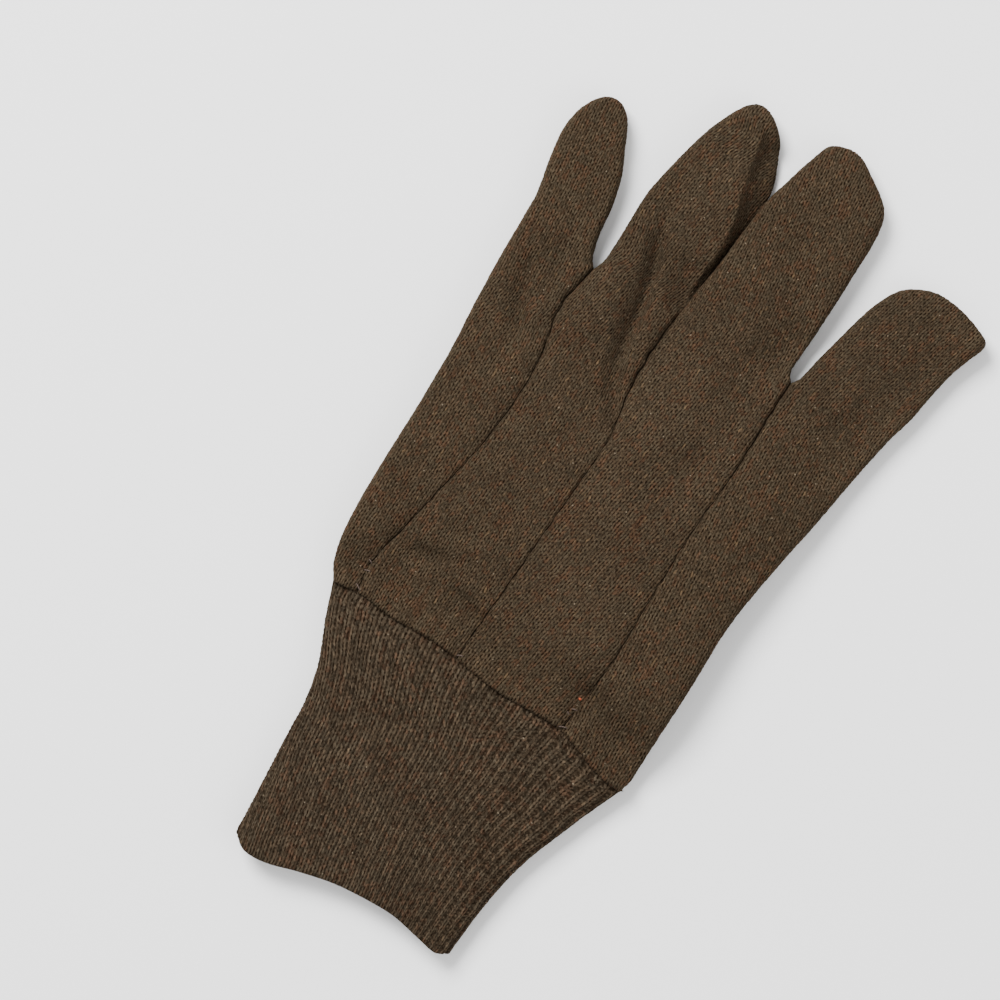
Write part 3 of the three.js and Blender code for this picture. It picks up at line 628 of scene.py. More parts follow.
def knit_material(name, across, along, leg_contrast, groove_shade_depth, ribs, shade_colour, brown, red, green, tan):
    """Melange cotton knit: each yarn has its streaks of colour, the pits and grooves between stitches carry
    painted shade, and pale specks of stray fibre are partly painted highlight.
    """
    material = bpy.data.materials.new(name)
    material.use_nodes = True
    tree = material.node_tree
    shader = tree.nodes["Principled BSDF"]

    def add(kind, *inputs, **settings):
        node = tree.nodes.new(kind)
        for key, value in settings.items():
            setattr(node, key, value)
        for i, value in enumerate(inputs):
            if isinstance(value, bpy.types.NodeSocket):
                tree.links.new(value, node.inputs[i])
            elif value is not None:
                node.inputs[i].default_value = value
        return node

    def maths(operation, *inputs, clamp=False):
        return add("ShaderNodeMath", *inputs, operation=operation, use_clamp=clamp).outputs[0]

    def blend(share, first, second):
        node = add("ShaderNodeMix", data_type="RGBA")
        for index, value in ((0, share), (6, first), (7, second)):
            if isinstance(value, bpy.types.NodeSocket):
                tree.links.new(value, node.inputs[index])
            else:
                node.inputs[index].default_value = value
        return node.outputs[2]

    def window(value, low, high, start=0.0, end=1.0):
        return add("ShaderNodeMapRange", value, low, high, start, end).outputs[0]

    uv = add("ShaderNodeUVMap", uv_map="UVMap")
    place = add("ShaderNodeMapping", uv.outputs[0], None, None, (across, along, 1)).outputs[0]
    parts = add("ShaderNodeSeparateXYZ", uv.outputs[0])
    wander = add("ShaderNodeTexNoise", place, None, 1.5, 1.0, noise_dimensions="2D").outputs[1]
    wander = add("ShaderNodeVectorMath", wander, (0.5, 0.5, 0.5), operation="SUBTRACT").outputs[0]
    wander = add("ShaderNodeSeparateXYZ", wander)
    wales = maths("MULTIPLY_ADD", wander.outputs[0], wander_reach / across, parts.outputs[0])
    courses = maths("MULTIPLY_ADD", wander.outputs[1], wander_reach / along, parts.outputs[1])
    rib_at = maths("SUBTRACT", maths("FRACT", wales), 0.5)
    leg_at = maths("ABSOLUTE", rib_at)
    if ribs:
        (wide, narrow), (opens, open_at) = ribs
        leg_at = maths("DIVIDE", leg_at, window(wales, opens, open_at, wide, narrow))
    across_leg = maths("MULTIPLY_ADD", maths("MINIMUM", leg_at, 0.5), -4.0, 1.0)
    along_leg = maths("MULTIPLY_ADD", across_leg, 0.5 * leg_slant, courses)
    half_wales = maths("MULTIPLY", wales, 2.0)
    yarn_row = maths("FLOOR", along_leg)
    leg_cell = add("ShaderNodeCombineXYZ", maths("FLOOR", half_wales), yarn_row)
    leg_shade = add("ShaderNodeTexWhiteNoise", leg_cell.outputs[0], noise_dimensions="2D").outputs["Value"]
    pit_cell = add("ShaderNodeCombineXYZ", maths("ROUND", half_wales), maths("ROUND", along_leg))
    pit_shade_strength = add("ShaderNodeTexWhiteNoise", pit_cell.outputs[0], noise_dimensions="2D").outputs["Value"]
    yarn_place = add(
        "ShaderNodeCombineXYZ", maths("MULTIPLY", wales, across), maths("MULTIPLY", yarn_row, 13.7)
    ).outputs[0]

    def cloud(size, stretch, detail=2.0, start=place):
        scaled = add("ShaderNodeMapping", start, None, None, (1 / size, 1 / (size * stretch), 1)).outputs[0]
        return add("ShaderNodeTexNoise", scaled, None, 1.0, detail, noise_dimensions="2D").outputs[0]

    def streaks(length, seed):
        moved = add("ShaderNodeMapping", yarn_place, (seed, seed * 3.1, 0)).outputs[0]
        return cloud(length, 1.0, 1.0, moved)

    patches = cloud(9.0, 1.2)
    yarn = blend(window(streaks(3.0, 0.0), 0.38, 0.62), green, brown)
    redness = maths("ADD", streaks(2.0, 31.0), maths("MULTIPLY_ADD", patches, 0.5, -0.25))
    yarn = blend(window(redness, 0.56, 0.70), yarn, red)
    yarn = blend(window(streaks(1.3, 57.0), 0.70, 0.80), yarn, tan)
    shade = window(leg_shade, 0.0, 1.0, 1 - leg_contrast, 1 + leg_contrast)
    fibre = window(cloud(0.42, 1.8, 4.0), 0.3, 0.7, 0.60, 1.38)
    broad = window(cloud(16.0, 1.0), 0.3, 0.7, 0.92, 1.08)
    shade = maths("MULTIPLY", maths("MULTIPLY", shade, fibre), broad)
    lit = add("ShaderNodeVectorMath", yarn, None, None, shade, operation="SCALE").outputs[0]
    # Painted shade: the pits between the legs, by a random amount each, and the grooves along the legs' edges
    # are darkened towards the shade colour, for the shade that falls in them.
    near_edge = maths("POWER", maths("ABSOLUTE", across_leg), 2.7)
    near_gap = maths("MULTIPLY_ADD", maths("COSINE", maths("MULTIPLY", along_leg, 2 * math.pi)), 0.5, 0.5)
    pit_shade = maths("MULTIPLY", near_edge, maths("POWER", near_gap, 0.55))
    pit_shade = maths("MULTIPLY", pit_shade, window(pit_shade_strength, 0.0, 1.0, 0.45, 1.9))
    line = maths("MULTIPLY_ADD", near_edge, groove_shade_depth, maths("MULTIPLY", near_gap, 0.08))
    painted_shade = maths("ADD", pit_shade, line, clamp=True)
    # Pale specks of stray fibre over the knit: partly lighter fibre, partly painted highlight where the fuzz
    # catches the light.
    glint_place = add("ShaderNodeMapping", place, (17.0, 5.0, 0)).outputs[0]
    stray_glint = window(cloud(0.33, 2.2, 1.0, glint_place), 0.60, 0.74, 0.0, 0.38)
    if ribs:
        # Painted shade: the hollows between the ribs are darkened, a little less where the purl rungs cross
        # them.
        hollow = window(leg_at, 0.44, 0.54)
        rungs = maths("COSINE", maths("MULTIPLY", courses, 2 * math.pi))
        hollow_shade = maths("MULTIPLY_ADD", rungs, -0.2, 0.62)
        painted_shade = add("ShaderNodeMix", hollow, None, painted_shade, hollow_shade).outputs[0]
    colour = blend(stray_glint, blend(painted_shade, lit, shade_colour), fibre_glint_colour)
    nep_cells = add("ShaderNodeTexVoronoi", place, None, nep_spacing, voronoi_dimensions="2D")
    nep_near = window(nep_cells.outputs["Distance"], 0.02, 0.04, 1.0, 0.0)
    nep_some = window(add("ShaderNodeSeparateColor", nep_cells.outputs["Color"]).outputs[0], 0.84, 0.86)
    colour = blend(maths("MULTIPLY", nep_near, nep_some), colour, nep_colour)
    tree.links.new(colour, shader.inputs["Base Color"])
    fuzz = add("ShaderNodeBump", 0.5, 0.06 * mm, None, cloud(0.22, 2.0, 3.0))
    fuzz.inputs["Height"].default_value = 1.0
    tree.links.new(fuzz.outputs[0], shader.inputs["Normal"])
    shader.inputs["Roughness"].default_value = 0.95
    shader.inputs["Specular IOR Level"].default_value = 0.03
    shader.inputs["Sheen Weight"].default_value = 0.03
    shader.inputs["Sheen Roughness"].default_value = 0.6
    shader.inputs["Sheen Tint"].default_value = (0.6, 0.42, 0.25, 1)
    return material


# The darkest colour here is painted shade for the pits and grooves between the stitches.
jersey = knit_material(
    "brown_jersey", wale, course, 0.24, 0.42, None,
    shade_colour=(0.0042, 0.0019, 0.0005, 1), brown=(0.0362, 0.0248, 0.0148, 1),
    red=(0.0419, 0.0236, 0.0134, 1), green=(0.0336, 0.0252, 0.0156, 1), tan=(0.0645, 0.0422, 0.0228, 1),
)
jersey_inside = bpy.data.materials.new("jersey_inside")
jersey_inside.use_nodes = True
inside_nodes = jersey_inside.node_tree.nodes
inside_links = jersey_inside.node_tree.links
inside_shader = inside_nodes["Principled BSDF"]
inside_place = inside_nodes.new("ShaderNodeTexCoord")
inside_nap = inside_nodes.new("ShaderNodeTexNoise")
inside_nap.inputs["Scale"].default_value = 900
inside_nap.inputs["Detail"].default_value = 3
inside_ramp = inside_nodes.new("ShaderNodeValToRGB")
inside_ramp.color_ramp.elements[0].color = (0.014, 0.009, 0.005, 1)
inside_ramp.color_ramp.elements[0].position = 0.35
inside_ramp.color_ramp.elements[1].color = (0.040, 0.027, 0.016, 1)
inside_ramp.color_ramp.elements[1].position = 0.65
inside_bump = inside_nodes.new("ShaderNodeBump")
inside_bump.inputs["Distance"].default_value = 0.2 * mm
inside_links.new(inside_place.outputs["Object"], inside_nap.inputs["Vector"])
inside_links.new(inside_nap.outputs["Fac"], inside_ramp.inputs["Fac"])
inside_links.new(inside_ramp.outputs["Color"], inside_shader.inputs["Base Color"])
inside_links.new(inside_nap.outputs["Fac"], inside_bump.inputs["Height"])
inside_links.new(inside_bump.outputs["Normal"], inside_shader.inputs["Normal"])
inside_shader.inputs["Roughness"].default_value = 1.0
inside_shader.inputs["Specular IOR Level"].default_value = 0.05

jersey_wall = 1.2
palm_grain = table("at lean wale first zero", (0, 0, wale, 0, 0), (180, 0, wale, 0, 0))
palm_parts = []
for strip_name, strip in strips.items():
    grid, counts, relief = knit_strip(strip, "palm", palm_grain, 4, 2.5)
    palm_parts.append(add_cloth("palm_" + strip_name, grid, counts, relief, inward=True))
bpy.ops.object.select_all(action="DESELECT")
for part in palm_parts:
    part.select_set(True)
palm = palm_parts[0]
bpy.context.view_layer.objects.active = palm
bpy.ops.object.join()
palm.name = "jersey_palm"
palm.data.materials.append(jersey)
bpy.ops.object.mode_set(mode="EDIT")
bpy.ops.mesh.select_all(action="SELECT")
bpy.ops.mesh.remove_doubles(threshold=0.01 * mm)
bpy.ops.mesh.select_all(action="DESELECT")
bpy.ops.object.mode_set(mode="OBJECT")
centres = np.empty(len(palm.data.polygons) * 3)
palm.data.polygons.foreach_get("center", centres)
from_hole = centres.reshape(-1, 3)[:, :2] / mm - [shift_x, shift_y] - thumb_hole
across_hole = from_hole @ [thumb_way[1], -thumb_way[0]] / (thumb_width / 2 - jersey_wall)
along_hole = from_hole @ thumb_way / (thumb_hole_length / 2 - jersey_wall)
palm.data.polygons.foreach_set("select", across_hole**2 + along_hole**2 < 1)
bpy.ops.object.mode_set(mode="EDIT")
bpy.ops.mesh.select_mode(type="FACE")
bpy.ops.mesh.delete(type="FACE")
bpy.ops.object.mode_set(mode="OBJECT")
add_wall(palm, jersey_wall, jersey_inside)
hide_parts("palm_panel")
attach(palm, "root")

# The strips of the back
# The back is four strips of the same jersey, one up each finger, sewn to each other in three seams that
# run from the crotches down to the cuff. Each seam pulls the cloth down into a crease.

# Each fold's height, how far it reaches to its left and its right, looking along it, and its line, in
# which each point has its share of the height.
folds = (
    ("ring finger ridge", 0.5, 5.0, 2.5, (
        (-11.5, 137.5, 1), (-12.0, 149.5, 1), (-15.5, 159.5, 1), (-19.0, 175.5, 1),
    )),
    ("ring knuckle valley", -4.2, 3.4, 1.7, (
        (-6.0, 82.0, 0.4), (-10.5, 89.5, 0.7), (-14.5, 96.5, 0.8), (-16.2, 104.5, 0.85), (-17.8, 114.5, 1),
        (-20.5, 124.5, 0.95), (-24.0, 133.0, 0.7), (-26.8, 143.0, 0.2),
    )),
    ("ring knuckle shoulder", 2.6, 4.0, 7.5, (
        (-28.5, 91.0, 0.2), (-29.5, 100.0, 0.9), (-30.5, 114.0, 1), (-31.5, 128.0, 0.3),
    )),
    ("ring knuckle ridge", 0.9, 3.0, 5.0, ((-9.5, 99.5, 0.6), (-12.5, 112.5, 1), (-16.5, 124.5, 0.5))),
    ("ring slanted dent", -4.2, 7.5, 3.0, ((-8.0, 123.5, 1), (-9.0, 131.0, 0.8))),
    ("little knuckle dent", -3.0, 3.6, 1.9, (
        (-43.5, 85.0, 0.3), (-45.0, 91.5, 1), (-48.8, 98.5, 1), (-51.0, 107.0, 0.5),
    )),
    ("little side dent", -1.8, 5.0, 3.5, ((-43.5, 102.0, 1), (-44.5, 116.0, 1))),
    ("wrist dent", -2.6, 3.0, 10.0, (
        (-39.0, 18.5, 0.3), (-34.0, 18.5, 1), (-28.0, 20.5, 1), (-19.0, 24.0, 0.7),
    )),
    ("wrist dent beside it", -2.6, 3.2, 6.0, ((-20.0, 17.0, 0.5), (-14.0, 15.0, 1), (-7.0, 13.0, 1))),
    ("wrist bulge", 0.9, 6.0, 6.0, ((-34.0, 33.5, 1), (-20.0, 40.5, 1))),
    ("middle ridge", 0.9, 7.0, 9.0, ((7.0, 60.0, 1), (8.0, 112.0, 1))),
    ("middle knuckle dent", -3.3, 10.0, 4.0, ((21.0, 86.0, 0.8), (23.0, 110.5, 1), (25.0, 129.5, 1))),
    ("index finger dent", -2.4, 10.0, 5.0, ((54.0, 112.5, 1), (58.0, 128.5, 1), (61.0, 146.5, 0.8))),
    ("index wrist dent", -2.6, 4.0, 8.0, (
        (18.0, 15.5, 0.5), (25.0, 13.5, 1), (33.0, 12.5, 1), (48.0, 8.5, 0.7),
    )),
)

lip_height, lip_at, lip_spread = 0.7, 2.2, 1.5
dip_depth, dip_at, dip_spread = 2.5, 6, 8


def gathers(x, y):
    """Where the cloth is gathered on the cuff it has a lip and a dip, and stands in short soft waves."""
    above = y - cuff_seam_y(x)
    lip = lip_height * np.exp(-(((above - lip_at) / lip_spread) ** 2))
    dip = dip_depth * np.exp(-(((above - dip_at) / dip_spread) ** 2)) * smooth(above, 0, 3.5)
    waves = 0.45 * ripple(x, y * 0.3, 6, 31) + 0.25 * ripple(x, y * 0.5, 3.6, 32)
    return lip - dip + (1 - smooth(above, 1, 15)) * waves


def fold_height(x, y):
    """How far all the folds together raise the back."""
    total = np.zeros_like(x)
    for _, height, left_spread, right_spread, points in folds:
        nearest = np.full(x.shape, 1e9)
        spread, share = np.ones(x.shape), np.ones(x.shape)
        for start, end in zip(points, points[1:]):
            away, side, t = away_from_line(x, y, start[:2], end[:2])
            closer = away < nearest
            spread = np.where(closer, mix(left_spread, right_spread, 0.5 + 0.5 * side), spread)
            share = np.where(closer, mix(start[2], end[2], t), share)
            nearest = np.where(closer, away, nearest)
        total += height * share * np.exp(-((nearest / spread) ** 2))
    return total


# How deep each seam sinks, and how far the cloth dips beside it, from the cuff to the crotch.
crease_columns = "at sink width dip_right spread_right dip_left spread_left"
seam_creases = {
    "little_ring": table(
        crease_columns,
        (0.00, 1.9, 1.5, 0.6, 2.5, 0.5, 2.5),
        (0.18, 2.2, 1.5, 1.2, 3.0, 0.5, 2.5),
        (0.35, 1.8, 1.3, 0.6, 2.5, 0.4, 2.5),
        (0.62, 2.0, 1.4, 0.8, 3.0, 0.5, 2.5),
        (0.80, 3.0, 2.3, 1.2, 3.5, 0.8, 3.0),
        (0.96, 3.6, 2.8, 1.6, 4.0, 1.2, 3.5),
    ),
    "ring_middle": table(
        crease_columns,
        (0.00, 1.9, 1.3, 0.6, 2.5, 0.6, 2.5),
        (0.40, 2.0, 1.3, 0.5, 2.5, 0.5, 2.5),
        (0.68, 2.2, 1.4, 0.7, 3.0, 0.7, 3.0),
        (0.80, 3.8, 2.7, 1.0, 3.5, 1.2, 3.5),
        (1.03, 4.2, 3.0, 1.2, 3.5, 1.8, 3.5),
    ),
    "middle_index": table(
        crease_columns,
        (0.00, 2.0, 1.4, 0.8, 2.5, 1.0, 3.0),
        (0.50, 1.9, 1.2, 0.4, 2.5, 0.5, 2.5),
        (0.76, 2.3, 1.4, 0.7, 3.0, 0.6, 3.0),
        (0.90, 3.4, 2.0, 1.2, 3.5, 0.8, 3.5),
        (1.00, 3.8, 2.2, 1.4, 4.0, 1.0, 3.5),
    ),
}

# How the wales of each strip lean, in degrees to the right, and how wide they are, along the hand. The
# count starts with the number in first, at the place across the hand in zero.
grain_columns = "at lean wale first zero"
grains = {
    "little": table(
        grain_columns,
        (0, 0, 1.66, 100, -46),
        (90, -1, 1.66, 100, -46),
        (130, -7, 1.6, 100, -46),
    ),
    "ring": table(
        grain_columns,
        (0, 1, 1.66, 200, -22),
        (100, 2, 1.66, 200, -22),
        (140, 6, 1.62, 200, -22),
    ),
    "middle": table(
        grain_columns,
        (0, 6.6, 1.76, 300, 8),
        (90, 6.6, 1.78, 300, 8),
        (140, -7, 1.61, 300, 8),
    ),
    "index": table(
        grain_columns,
        (0, -3.9, 1.8, 400, 43),
        (90, -3.9, 1.78, 400, 43),
        (130, 12, 1.55, 400, 43),
    ),
}
for strip_name, strip in strips.items():
    grid, counts, relief = knit_strip(strip, "back", grains[strip_name], 6, 5, seam_creases)
    back = add_cloth("jersey_back_" + strip_name, grid, counts, relief, inward=False)
    back.data.materials.append(jersey)
    add_wall(back, jersey_wall, jersey_inside)
    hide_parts("back_" + strip_name)
    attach(back, "root")

# The thumb
# A tube of the same jersey, sewn round the hole in the palm. It is folded up under the palm and lies
# flat between it and the floor.
thumb_bend = 4
thumb_bend_rows = 25
thumb_round_points = 241
thumb_slant = np.array([thumb_way[1], -thumb_way[0]])


def thumb_grid(per_wale, per_course):
    """The thumb's tube as a grid, from its bend at the palm's hole to its tip."""
    step = course / per_course
    mouth = thumb_hole + thumb_way * thumb_hole_length / 2
    straight = thumb_length - thumb_hole_length / 2
    bend_rows = np.linspace(0, 1, thumb_bend_rows)
    lie_rows = np.append(np.arange(thumb_bend + step, straight, step), straight - 0.01)
    turn = bend_rows * np.pi / 2
    flat, upright = np.cos(turn) / thumb_hole_length, np.sin(turn) / thumb_thickness
    size = (flat**side_exponent + upright**side_exponent) ** (-1 / side_exponent)
    near_y = np.append(thumb_bend * bend_rows, lie_rows)
    far_y = np.append(thumb_bend * bend_rows - size * np.cos(turn), lie_rows)
    to_tip = straight - near_y
    narrow = 1 - rounded(to_tip / (thumb_width / 2))
    flatten = 1 - rounded(to_tip / tip_roll)
    lying = flatten[thumb_bend_rows:]
    folded_z = np.maximum(thumb_thickness - size * np.sin(turn), 0)
    far_z = np.append(folded_z, thumb_thickness / 2 * (1 - lying))
    near_z = np.append(np.full(thumb_bend_rows, thumb_thickness), thumb_thickness / 2 * (1 + lying))
    half_width = thumb_width / 2 * narrow
    angle = np.linspace(0, 2 * np.pi, thumb_round_points)
    across = np.sign(np.cos(angle)) * np.abs(np.cos(angle)) ** (2 / side_exponent)
    height = np.sign(np.sin(angle)) * np.abs(np.sin(angle)) ** (2 / side_exponent)
    along = (near_y + far_y)[:, None] / 2 + (near_y - far_y)[:, None] / 2 * height
    z = (near_z + far_z)[:, None] / 2 + (near_z - far_z)[:, None] / 2 * height
    side = half_width[:, None] * across
    x = mouth[0] + thumb_way[0] * along + thumb_slant[0] * side
    y = mouth[1] + thumb_way[1] * along + thumb_slant[1] * side
    points = np.stack([x, y, z], axis=-1)
    around, up = np.gradient(points, axis=1), np.gradient(points, axis=0)
    normals = np.cross(up, around)
    normals /= np.maximum(np.linalg.norm(normals, axis=-1, keepdims=True), 1e-9)
    moves = np.linalg.norm(np.diff(points, axis=1), axis=-1)
    arc = np.concatenate([np.zeros((len(points), 1)), np.cumsum(moves, axis=1)], axis=1)
    wales_round = round(arc[:, -1].max() / wale)
    share = np.linspace(0, 1, wales_round * per_wale + 1)
    grid, facing = (resample(share * arc[:, -1:], arc, rows) for rows in (points, normals))
    spine = np.concatenate([[0], np.cumsum(np.linalg.norm(np.diff(points.mean(axis=1), axis=0), axis=-1))])
    wales = np.broadcast_to(500 + share * wales_round, grid.shape[:2])
    courses = np.broadcast_to(spine[:, None] / course, grid.shape[:2])
    relief = stitch_height(wales, courses)
    grid = grid + facing * ((relief - stitch_level) * stitch_relief)[..., None] + [shift_x, shift_y, 0]
    grid[..., 2] = np.maximum(grid[..., 2], 0)
    return grid, np.stack([wales, courses], axis=-1), relief


grid, counts, relief = thumb_grid(4, 3)
thumb = add_cloth("jersey_thumb", grid, counts, relief, inward=True)
thumb.data.materials.append(jersey)
add_wall(thumb, jersey_wall, jersey_inside)
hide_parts("thumb")
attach(thumb, "root")

# The knit cuff
# A tube of 1 by 1 rib knit, folded double at its hem and sewn round the wrist under the edge of the
# hand. Its ribs stand up in columns of V stitches with narrow hollows between them.
cuff_length = 73.5
hem_width = 71
hem_shift = 5
cuff_thickness = 9.8
cuff_inset = 0.4
cuff_under = 1.2
cuff_roll = 8
rib_wall = 2
ribs_each_side = 36
rib_relief = 0.55
rib_share = (0.92, 0.62)
rib_opens = (15, 32)
rib_course = 1.43
cuff_tuck = 1.5
cuff_tuck_length = 4.5
hem_wave = table(
    "at    rise",
    (0.00, -0.045),
    (0.07, -0.080),
    (0.17, -0.073),
    (0.30, -0.031),
    (0.44, 0.007),
    (0.58, 0.027),
    (0.72, 0.035),
    (0.86, 0.016),
    (0.95, 0.005),
    (1.00, 0.025),
)

# How far the ribs of the back have turned round the wrist at the hem, as a share of its width. They are
# turned less on the right, and the turn grows towards the hem.
cuff_twist = 0.11
twist_starts = 0.35
twist_growth = 1.3

# How the cuff narrows from its seam to its hem, as shares of the whole narrowing.
cuff_sides = table(
    "at    left  right",
    (0.00, 0.00, 0.00),
    (0.15, 0.26, 0.26),
    (0.30, 0.56, 0.49),
    (0.45, 0.73, 0.71),
    (0.60, 0.80, 0.86),
    (0.80, 0.90, 0.96),
    (1.00, 1.00, 1.00),
)

# How wide the ribs of the back are across the cuff, against each other: they are stretched on the right.
rib_spread = table("at width", (0.0, 0.76), (0.25, 0.82), (0.55, 0.88), (0.78, 1.0), (0.9, 1.12), (1.0, 1.16))
top_samples, low_samples = 8, 4
rows_per_rib_course = 4
hem_steps = 7
inner_rows = 14
corner_points, level_points = 30, 60


def rib_height(ribs, courses):
    """The relief of the ribs, from 0 in the hollows between them to 1 on the legs of their stitches."""
    opened = np.clip((ribs - rib_opens[0]) / (rib_opens[1] - rib_opens[0]), 0, 1)
    across = (ribs % 1 - 0.5) / mix(*rib_share, opened)
    legs = stitch_height(np.floor(ribs) + np.clip(across, -0.4999, 0.4999) + 0.5, courses)
    rib = np.clip(1 - np.abs(2 * across) ** 3.5, 0, 1)
    rungs = 0.12 * (1 + np.cos(2 * np.pi * courses)) * (1 - rib)
    return rib * (0.4 + 0.6 * legs) + rungs


def cuff_grid():
    """The cuff's tube as one grid: down its outside, round its hem and up its inside."""
    rows = round(cuff_length / rib_course * rows_per_rib_course)
    station = np.linspace(0, 1, rows + 1)
    depth = np.zeros(rows + 1)
    hem_turn = np.linspace(0, np.pi, hem_steps + 1)[1:]
    hem_reach = rib_wall / 2 * np.sin(hem_turn)
    station = np.concatenate([station, np.ones(hem_steps), np.linspace(1, 0, inner_rows + 1)[1:]])
    reach = np.concatenate([np.zeros(rows + 1), hem_reach, np.zeros(inner_rows)])
    depth = np.concatenate([depth, rib_wall / 2 * (1 - np.cos(hem_turn)), np.full(inner_rows, rib_wall)])
    lowered = np.concatenate([np.ones(rows + 1), 0.5 + 0.5 * np.cos(hem_turn / 2), np.full(inner_rows, 0.35)])
    inset = cuff_inset * (1 - station)
    hem_left, hem_right = hem_shift - hem_width / 2, hem_shift + hem_width / 2
    left = wrist_left + inset + (hem_left - wrist_left) * read(cuff_sides, "left", station)
    right = wrist_right - inset + (hem_right - wrist_right) * read(cuff_sides, "right", station)
    thick = mix(hand_thickness, cuff_thickness, station)
    turn = np.linspace(0, np.pi / 2, corner_points)
    reach_in = cuff_roll * (1 - np.cos(turn) ** (2 / side_exponent))
    climb = np.sin(turn) ** (2 / side_exponent)
    flat = np.linspace(0, 1, level_points + 2)[1:-1]
    left_turn = left[:, None] + reach_in
    right_turn = (right[:, None] - reach_in)[:, ::-1]
    level = left[:, None] + cuff_roll + ((right - left)[:, None] - 2 * cuff_roll) * flat
    top_x = np.concatenate([left_turn, level, right_turn], axis=1)
    top_climb = np.concatenate([climb, np.ones(len(flat)), climb[::-1]])

    def seam_side(x):
        share = (x - left[:, None]) / (right - left)[:, None]
        seam_x = mix(wrist_left + cuff_inset, wrist_right - cuff_inset, share)
        hem_y = cuff_length * (read(hem_wave, "rise", share) - 1)
        y = mix(cuff_seam_y(seam_x) + cuff_under, hem_y, station[:, None])
        return y + (rib_wall / 2 * station - reach)[:, None]

    halves = []
    for sign in (1, -1):
        y = seam_side(top_x)
        low, high = palm_lift(top_x, y), thick[:, None] + back_lift(top_x, y)
        middle = (low + high) / 2
        tuck = cuff_tuck * (1 - smooth(station * cuff_length, 1.0, cuff_tuck_length))[:, None]
        z = middle + sign * ((high - low) / 2 - inset[:, None] - tuck) * top_climb
        if sign > 0:
            z = z + (fold_height(top_x, y) + 0.3 * ripple(top_x, y, 20, 11)) * top_climb
        halves.append(np.stack([top_x, y, z], axis=-1))
    halves[1] = halves[1][:, ::-1]
    arcs, aways = [], []
    for points in halves:
        around = np.gradient(points, axis=1)
        away = np.stack([-around[..., 2], np.zeros(around.shape[:2]), around[..., 0]], axis=-1)
        aways.append(away / np.maximum(np.linalg.norm(away, axis=-1, keepdims=True), 1e-9))
        arc = arc_across(points)
        arcs.append(arc / arc[:, -1:])
    ring = np.concatenate([arcs[0], 1 + arcs[1][:, 1:]], axis=1)
    ring_points = np.concatenate([halves[0], halves[1][:, 1:]], axis=1)
    ring_away = np.concatenate([aways[0], aways[1][:, 1:]], axis=1)
    grids = []
    for half, samples in zip(("top", "low"), (top_samples, low_samples)):
        rib = np.linspace(0, ribs_each_side, ribs_each_side * samples + 1)
        widths = read(rib_spread, "width", rib / ribs_each_side) if half == "top" else np.ones(len(rib))
        share = np.cumsum(widths) - widths[0]
        share /= share[-1]
        if half == "top":
            turned = cuff_twist * (1 - smooth(share, twist_starts, 1))
        else:
            share = share + 1
            turned = cuff_twist * smooth(share, 1, 2)
        places = (share + turned * station[:, None] ** twist_growth) % 2
        grid, facing = resample(places, ring, ring_points), resample(places, ring, ring_away)
        ribs = np.broadcast_to(rib + (0 if half == "top" else ribs_each_side), grid.shape[:2])
        courses = np.broadcast_to(-(station * cuff_length + depth)[:, None] / rib_course, grid.shape[:2])
        ribs = ribs + 0.05 * ripple(grid[..., 0], grid[..., 1], 7, 41)
        courses = courses + 0.15 * ripple(grid[..., 0], grid[..., 1], 4, 42)
        relief = rib_height(ribs, courses)
        raised = (relief - 1) * rib_relief * lowered[:, None] - depth[:, None]
        grid = grid + facing * raised[..., None] + [shift_x, shift_y, 0]
        grids.append((grid, np.stack([ribs, courses], axis=-1), relief))
    grid, counts, relief = (np.concatenate([top, low[:, 1:]], axis=1) for top, low in zip(*grids))
    grid[:, -1] = grid[:, 0]
    return grid, counts, relief


# The darkest colour here is painted shade for the pits, grooves and hollows of the rib knit.
rib_knit = knit_material(
    "brown_rib_knit", 2.1, rib_course, 0.42, 0.5, (rib_share, rib_opens),
    shade_colour=(0.0042, 0.0019, 0.0005, 1), brown=(0.0362, 0.0257, 0.0164, 1),
    red=(0.0414, 0.0246, 0.0151, 1), green=(0.0338, 0.0261, 0.0173, 1), tan=(0.0610, 0.0430, 0.0264, 1),
)
grid, counts, relief = cuff_grid()
cuff = add_cloth("rib_cuff", grid, counts, relief, inward=True)
cuff.data.materials.append(rib_knit)
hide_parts("knit_cuff")
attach(cuff, "root")

# The seam threads
# The loops of sewing thread that show at the lower ends of the seams, where they meet the cuff, and a
# red fleck of lint caught in one of them.
thread_radius = 0.19

# Each loop's place, its length and how far it is turned.
thread_loops = (
    (30.9, 1.4, 2.6, 20), (30.4, 5.2, 2.2, -35), (30.9, 7.4, 1.6, 15), (-40.4, 1.8, 2.4, -30),
    (-41.0, 7.2, 1.8, 20), (-41.7, 9.9, 1.5, -25), (-5.2, 1.8, 1.8, 25),
)
fleck_at = (30.5, 11.0)
fleck_size = 0.42
above_all = 0.1


def cloth_top(x, y):
    """The height of the cloth at a place, found by looking straight down on it."""
    over = ((x + shift_x) * mm, (y + shift_y) * mm, above_all)
    layer = bpy.context.view_layer.depsgraph
    return bpy.context.scene.ray_cast(layer, over, (0, 0, -1))[1].z / mm


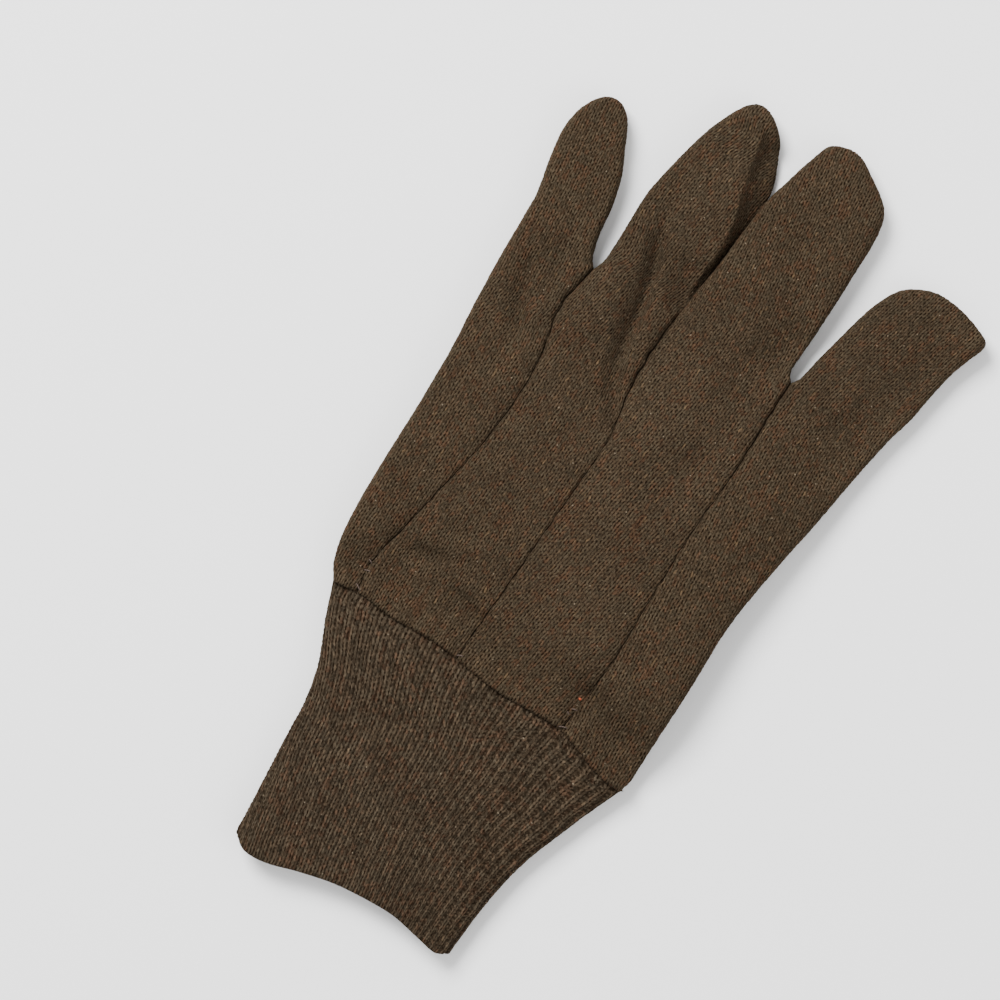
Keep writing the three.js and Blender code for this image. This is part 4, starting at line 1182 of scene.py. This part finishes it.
thread_parts = []
for loop_x, loop_y, loop_length, loop_turn in thread_loops:
    bpy.ops.object.select_all(action="DESELECT")
    bpy.ops.curve.primitive_bezier_curve_add()
    loop = bpy.context.object
    loop.data.bevel_depth = thread_radius * mm
    loop.data.bevel_resolution = 3
    loop.data.use_fill_caps = True
    run = np.array([math.cos(math.radians(loop_turn)), math.sin(math.radians(loop_turn))]) * loop_length / 2
    for point, way in zip(loop.data.splines[0].bezier_points, (-1, 1)):
        end_x, end_y = loop_x + way * run[0], loop_y + way * run[1]
        end = np.array([end_x + shift_x, end_y + shift_y, cloth_top(end_x, end_y) - 0.25])
        lean = np.array([-way * run[0] * 0.3, -way * run[1] * 0.3 + 0.25, 0.75])
        point.co = end * mm
        point.handle_left = (end + way * lean) * mm
        point.handle_right = (end - way * lean) * mm
    bpy.ops.object.convert(target="MESH")
    thread_parts.append(bpy.context.object)
bpy.ops.object.select_all(action="DESELECT")
for part in thread_parts:
    part.select_set(True)
bpy.context.view_layer.objects.active = thread_parts[0]
bpy.ops.object.join()
threads = bpy.context.object
threads.name = "seam_threads"
bpy.ops.object.transform_apply(location=True, rotation=True, scale=True)
bpy.ops.object.shade_smooth()


def thread_material(name, low, high, scale):
    """Spun thread: two shades of a colour in fine noise, with a soft fuzz."""
    material = bpy.data.materials.new(name)
    material.use_nodes = True
    nodes, links = material.node_tree.nodes, material.node_tree.links
    place, spin, ramp = (
        nodes.new(kind) for kind in ("ShaderNodeTexCoord", "ShaderNodeTexNoise", "ShaderNodeValToRGB")
    )
    bump = nodes.new("ShaderNodeBump")
    spin.inputs["Scale"].default_value = scale
    ramp.color_ramp.elements[0].color = low
    ramp.color_ramp.elements[0].position = 0.35
    ramp.color_ramp.elements[1].color = high
    ramp.color_ramp.elements[1].position = 0.65
    bump.inputs["Distance"].default_value = 0.1 * mm
    shader = nodes["Principled BSDF"]
    links.new(place.outputs["Object"], spin.inputs["Vector"])
    links.new(spin.outputs["Fac"], ramp.inputs["Fac"])
    links.new(ramp.outputs["Color"], shader.inputs["Base Color"])
    links.new(spin.outputs["Fac"], bump.inputs["Height"])
    links.new(bump.outputs["Normal"], shader.inputs["Normal"])
    shader.inputs["Roughness"].default_value = 0.9
    shader.inputs["Specular IOR Level"].default_value = 0.1
    return material


sewing_thread = thread_material("sewing_thread", (0.030, 0.021, 0.016, 1), (0.095, 0.070, 0.058, 1), 3000)
threads.data.materials.append(sewing_thread)
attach(threads, "root")

bpy.ops.object.select_all(action="DESELECT")
bpy.ops.mesh.primitive_ico_sphere_add(subdivisions=3, radius=fleck_size * mm)
fleck = bpy.context.object
fleck.name = "lint_fleck"
fleck_spots = np.empty(len(fleck.data.vertices) * 3)
fleck.data.vertices.foreach_get("co", fleck_spots)
fleck_spots = fleck_spots.reshape(-1, 3) / mm
tufts = 1 + 0.35 * ripple(fleck_spots[:, 0] + fleck_spots[:, 2], fleck_spots[:, 1], 0.5, 51)
fleck_spots = fleck_spots * tufts[:, None] * [1.2, 0.9, 0.8]
fleck_spots += [fleck_at[0] + shift_x, fleck_at[1] + shift_y, cloth_top(*fleck_at) + 0.1]
fleck.data.vertices.foreach_set("co", (fleck_spots * mm).ravel())
bpy.ops.object.shade_smooth()
red_lint = thread_material("red_lint", (0.09, 0.016, 0.007, 1), (0.30, 0.065, 0.028, 1), 2500)
fleck.data.materials.append(red_lint)
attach(fleck, "root")
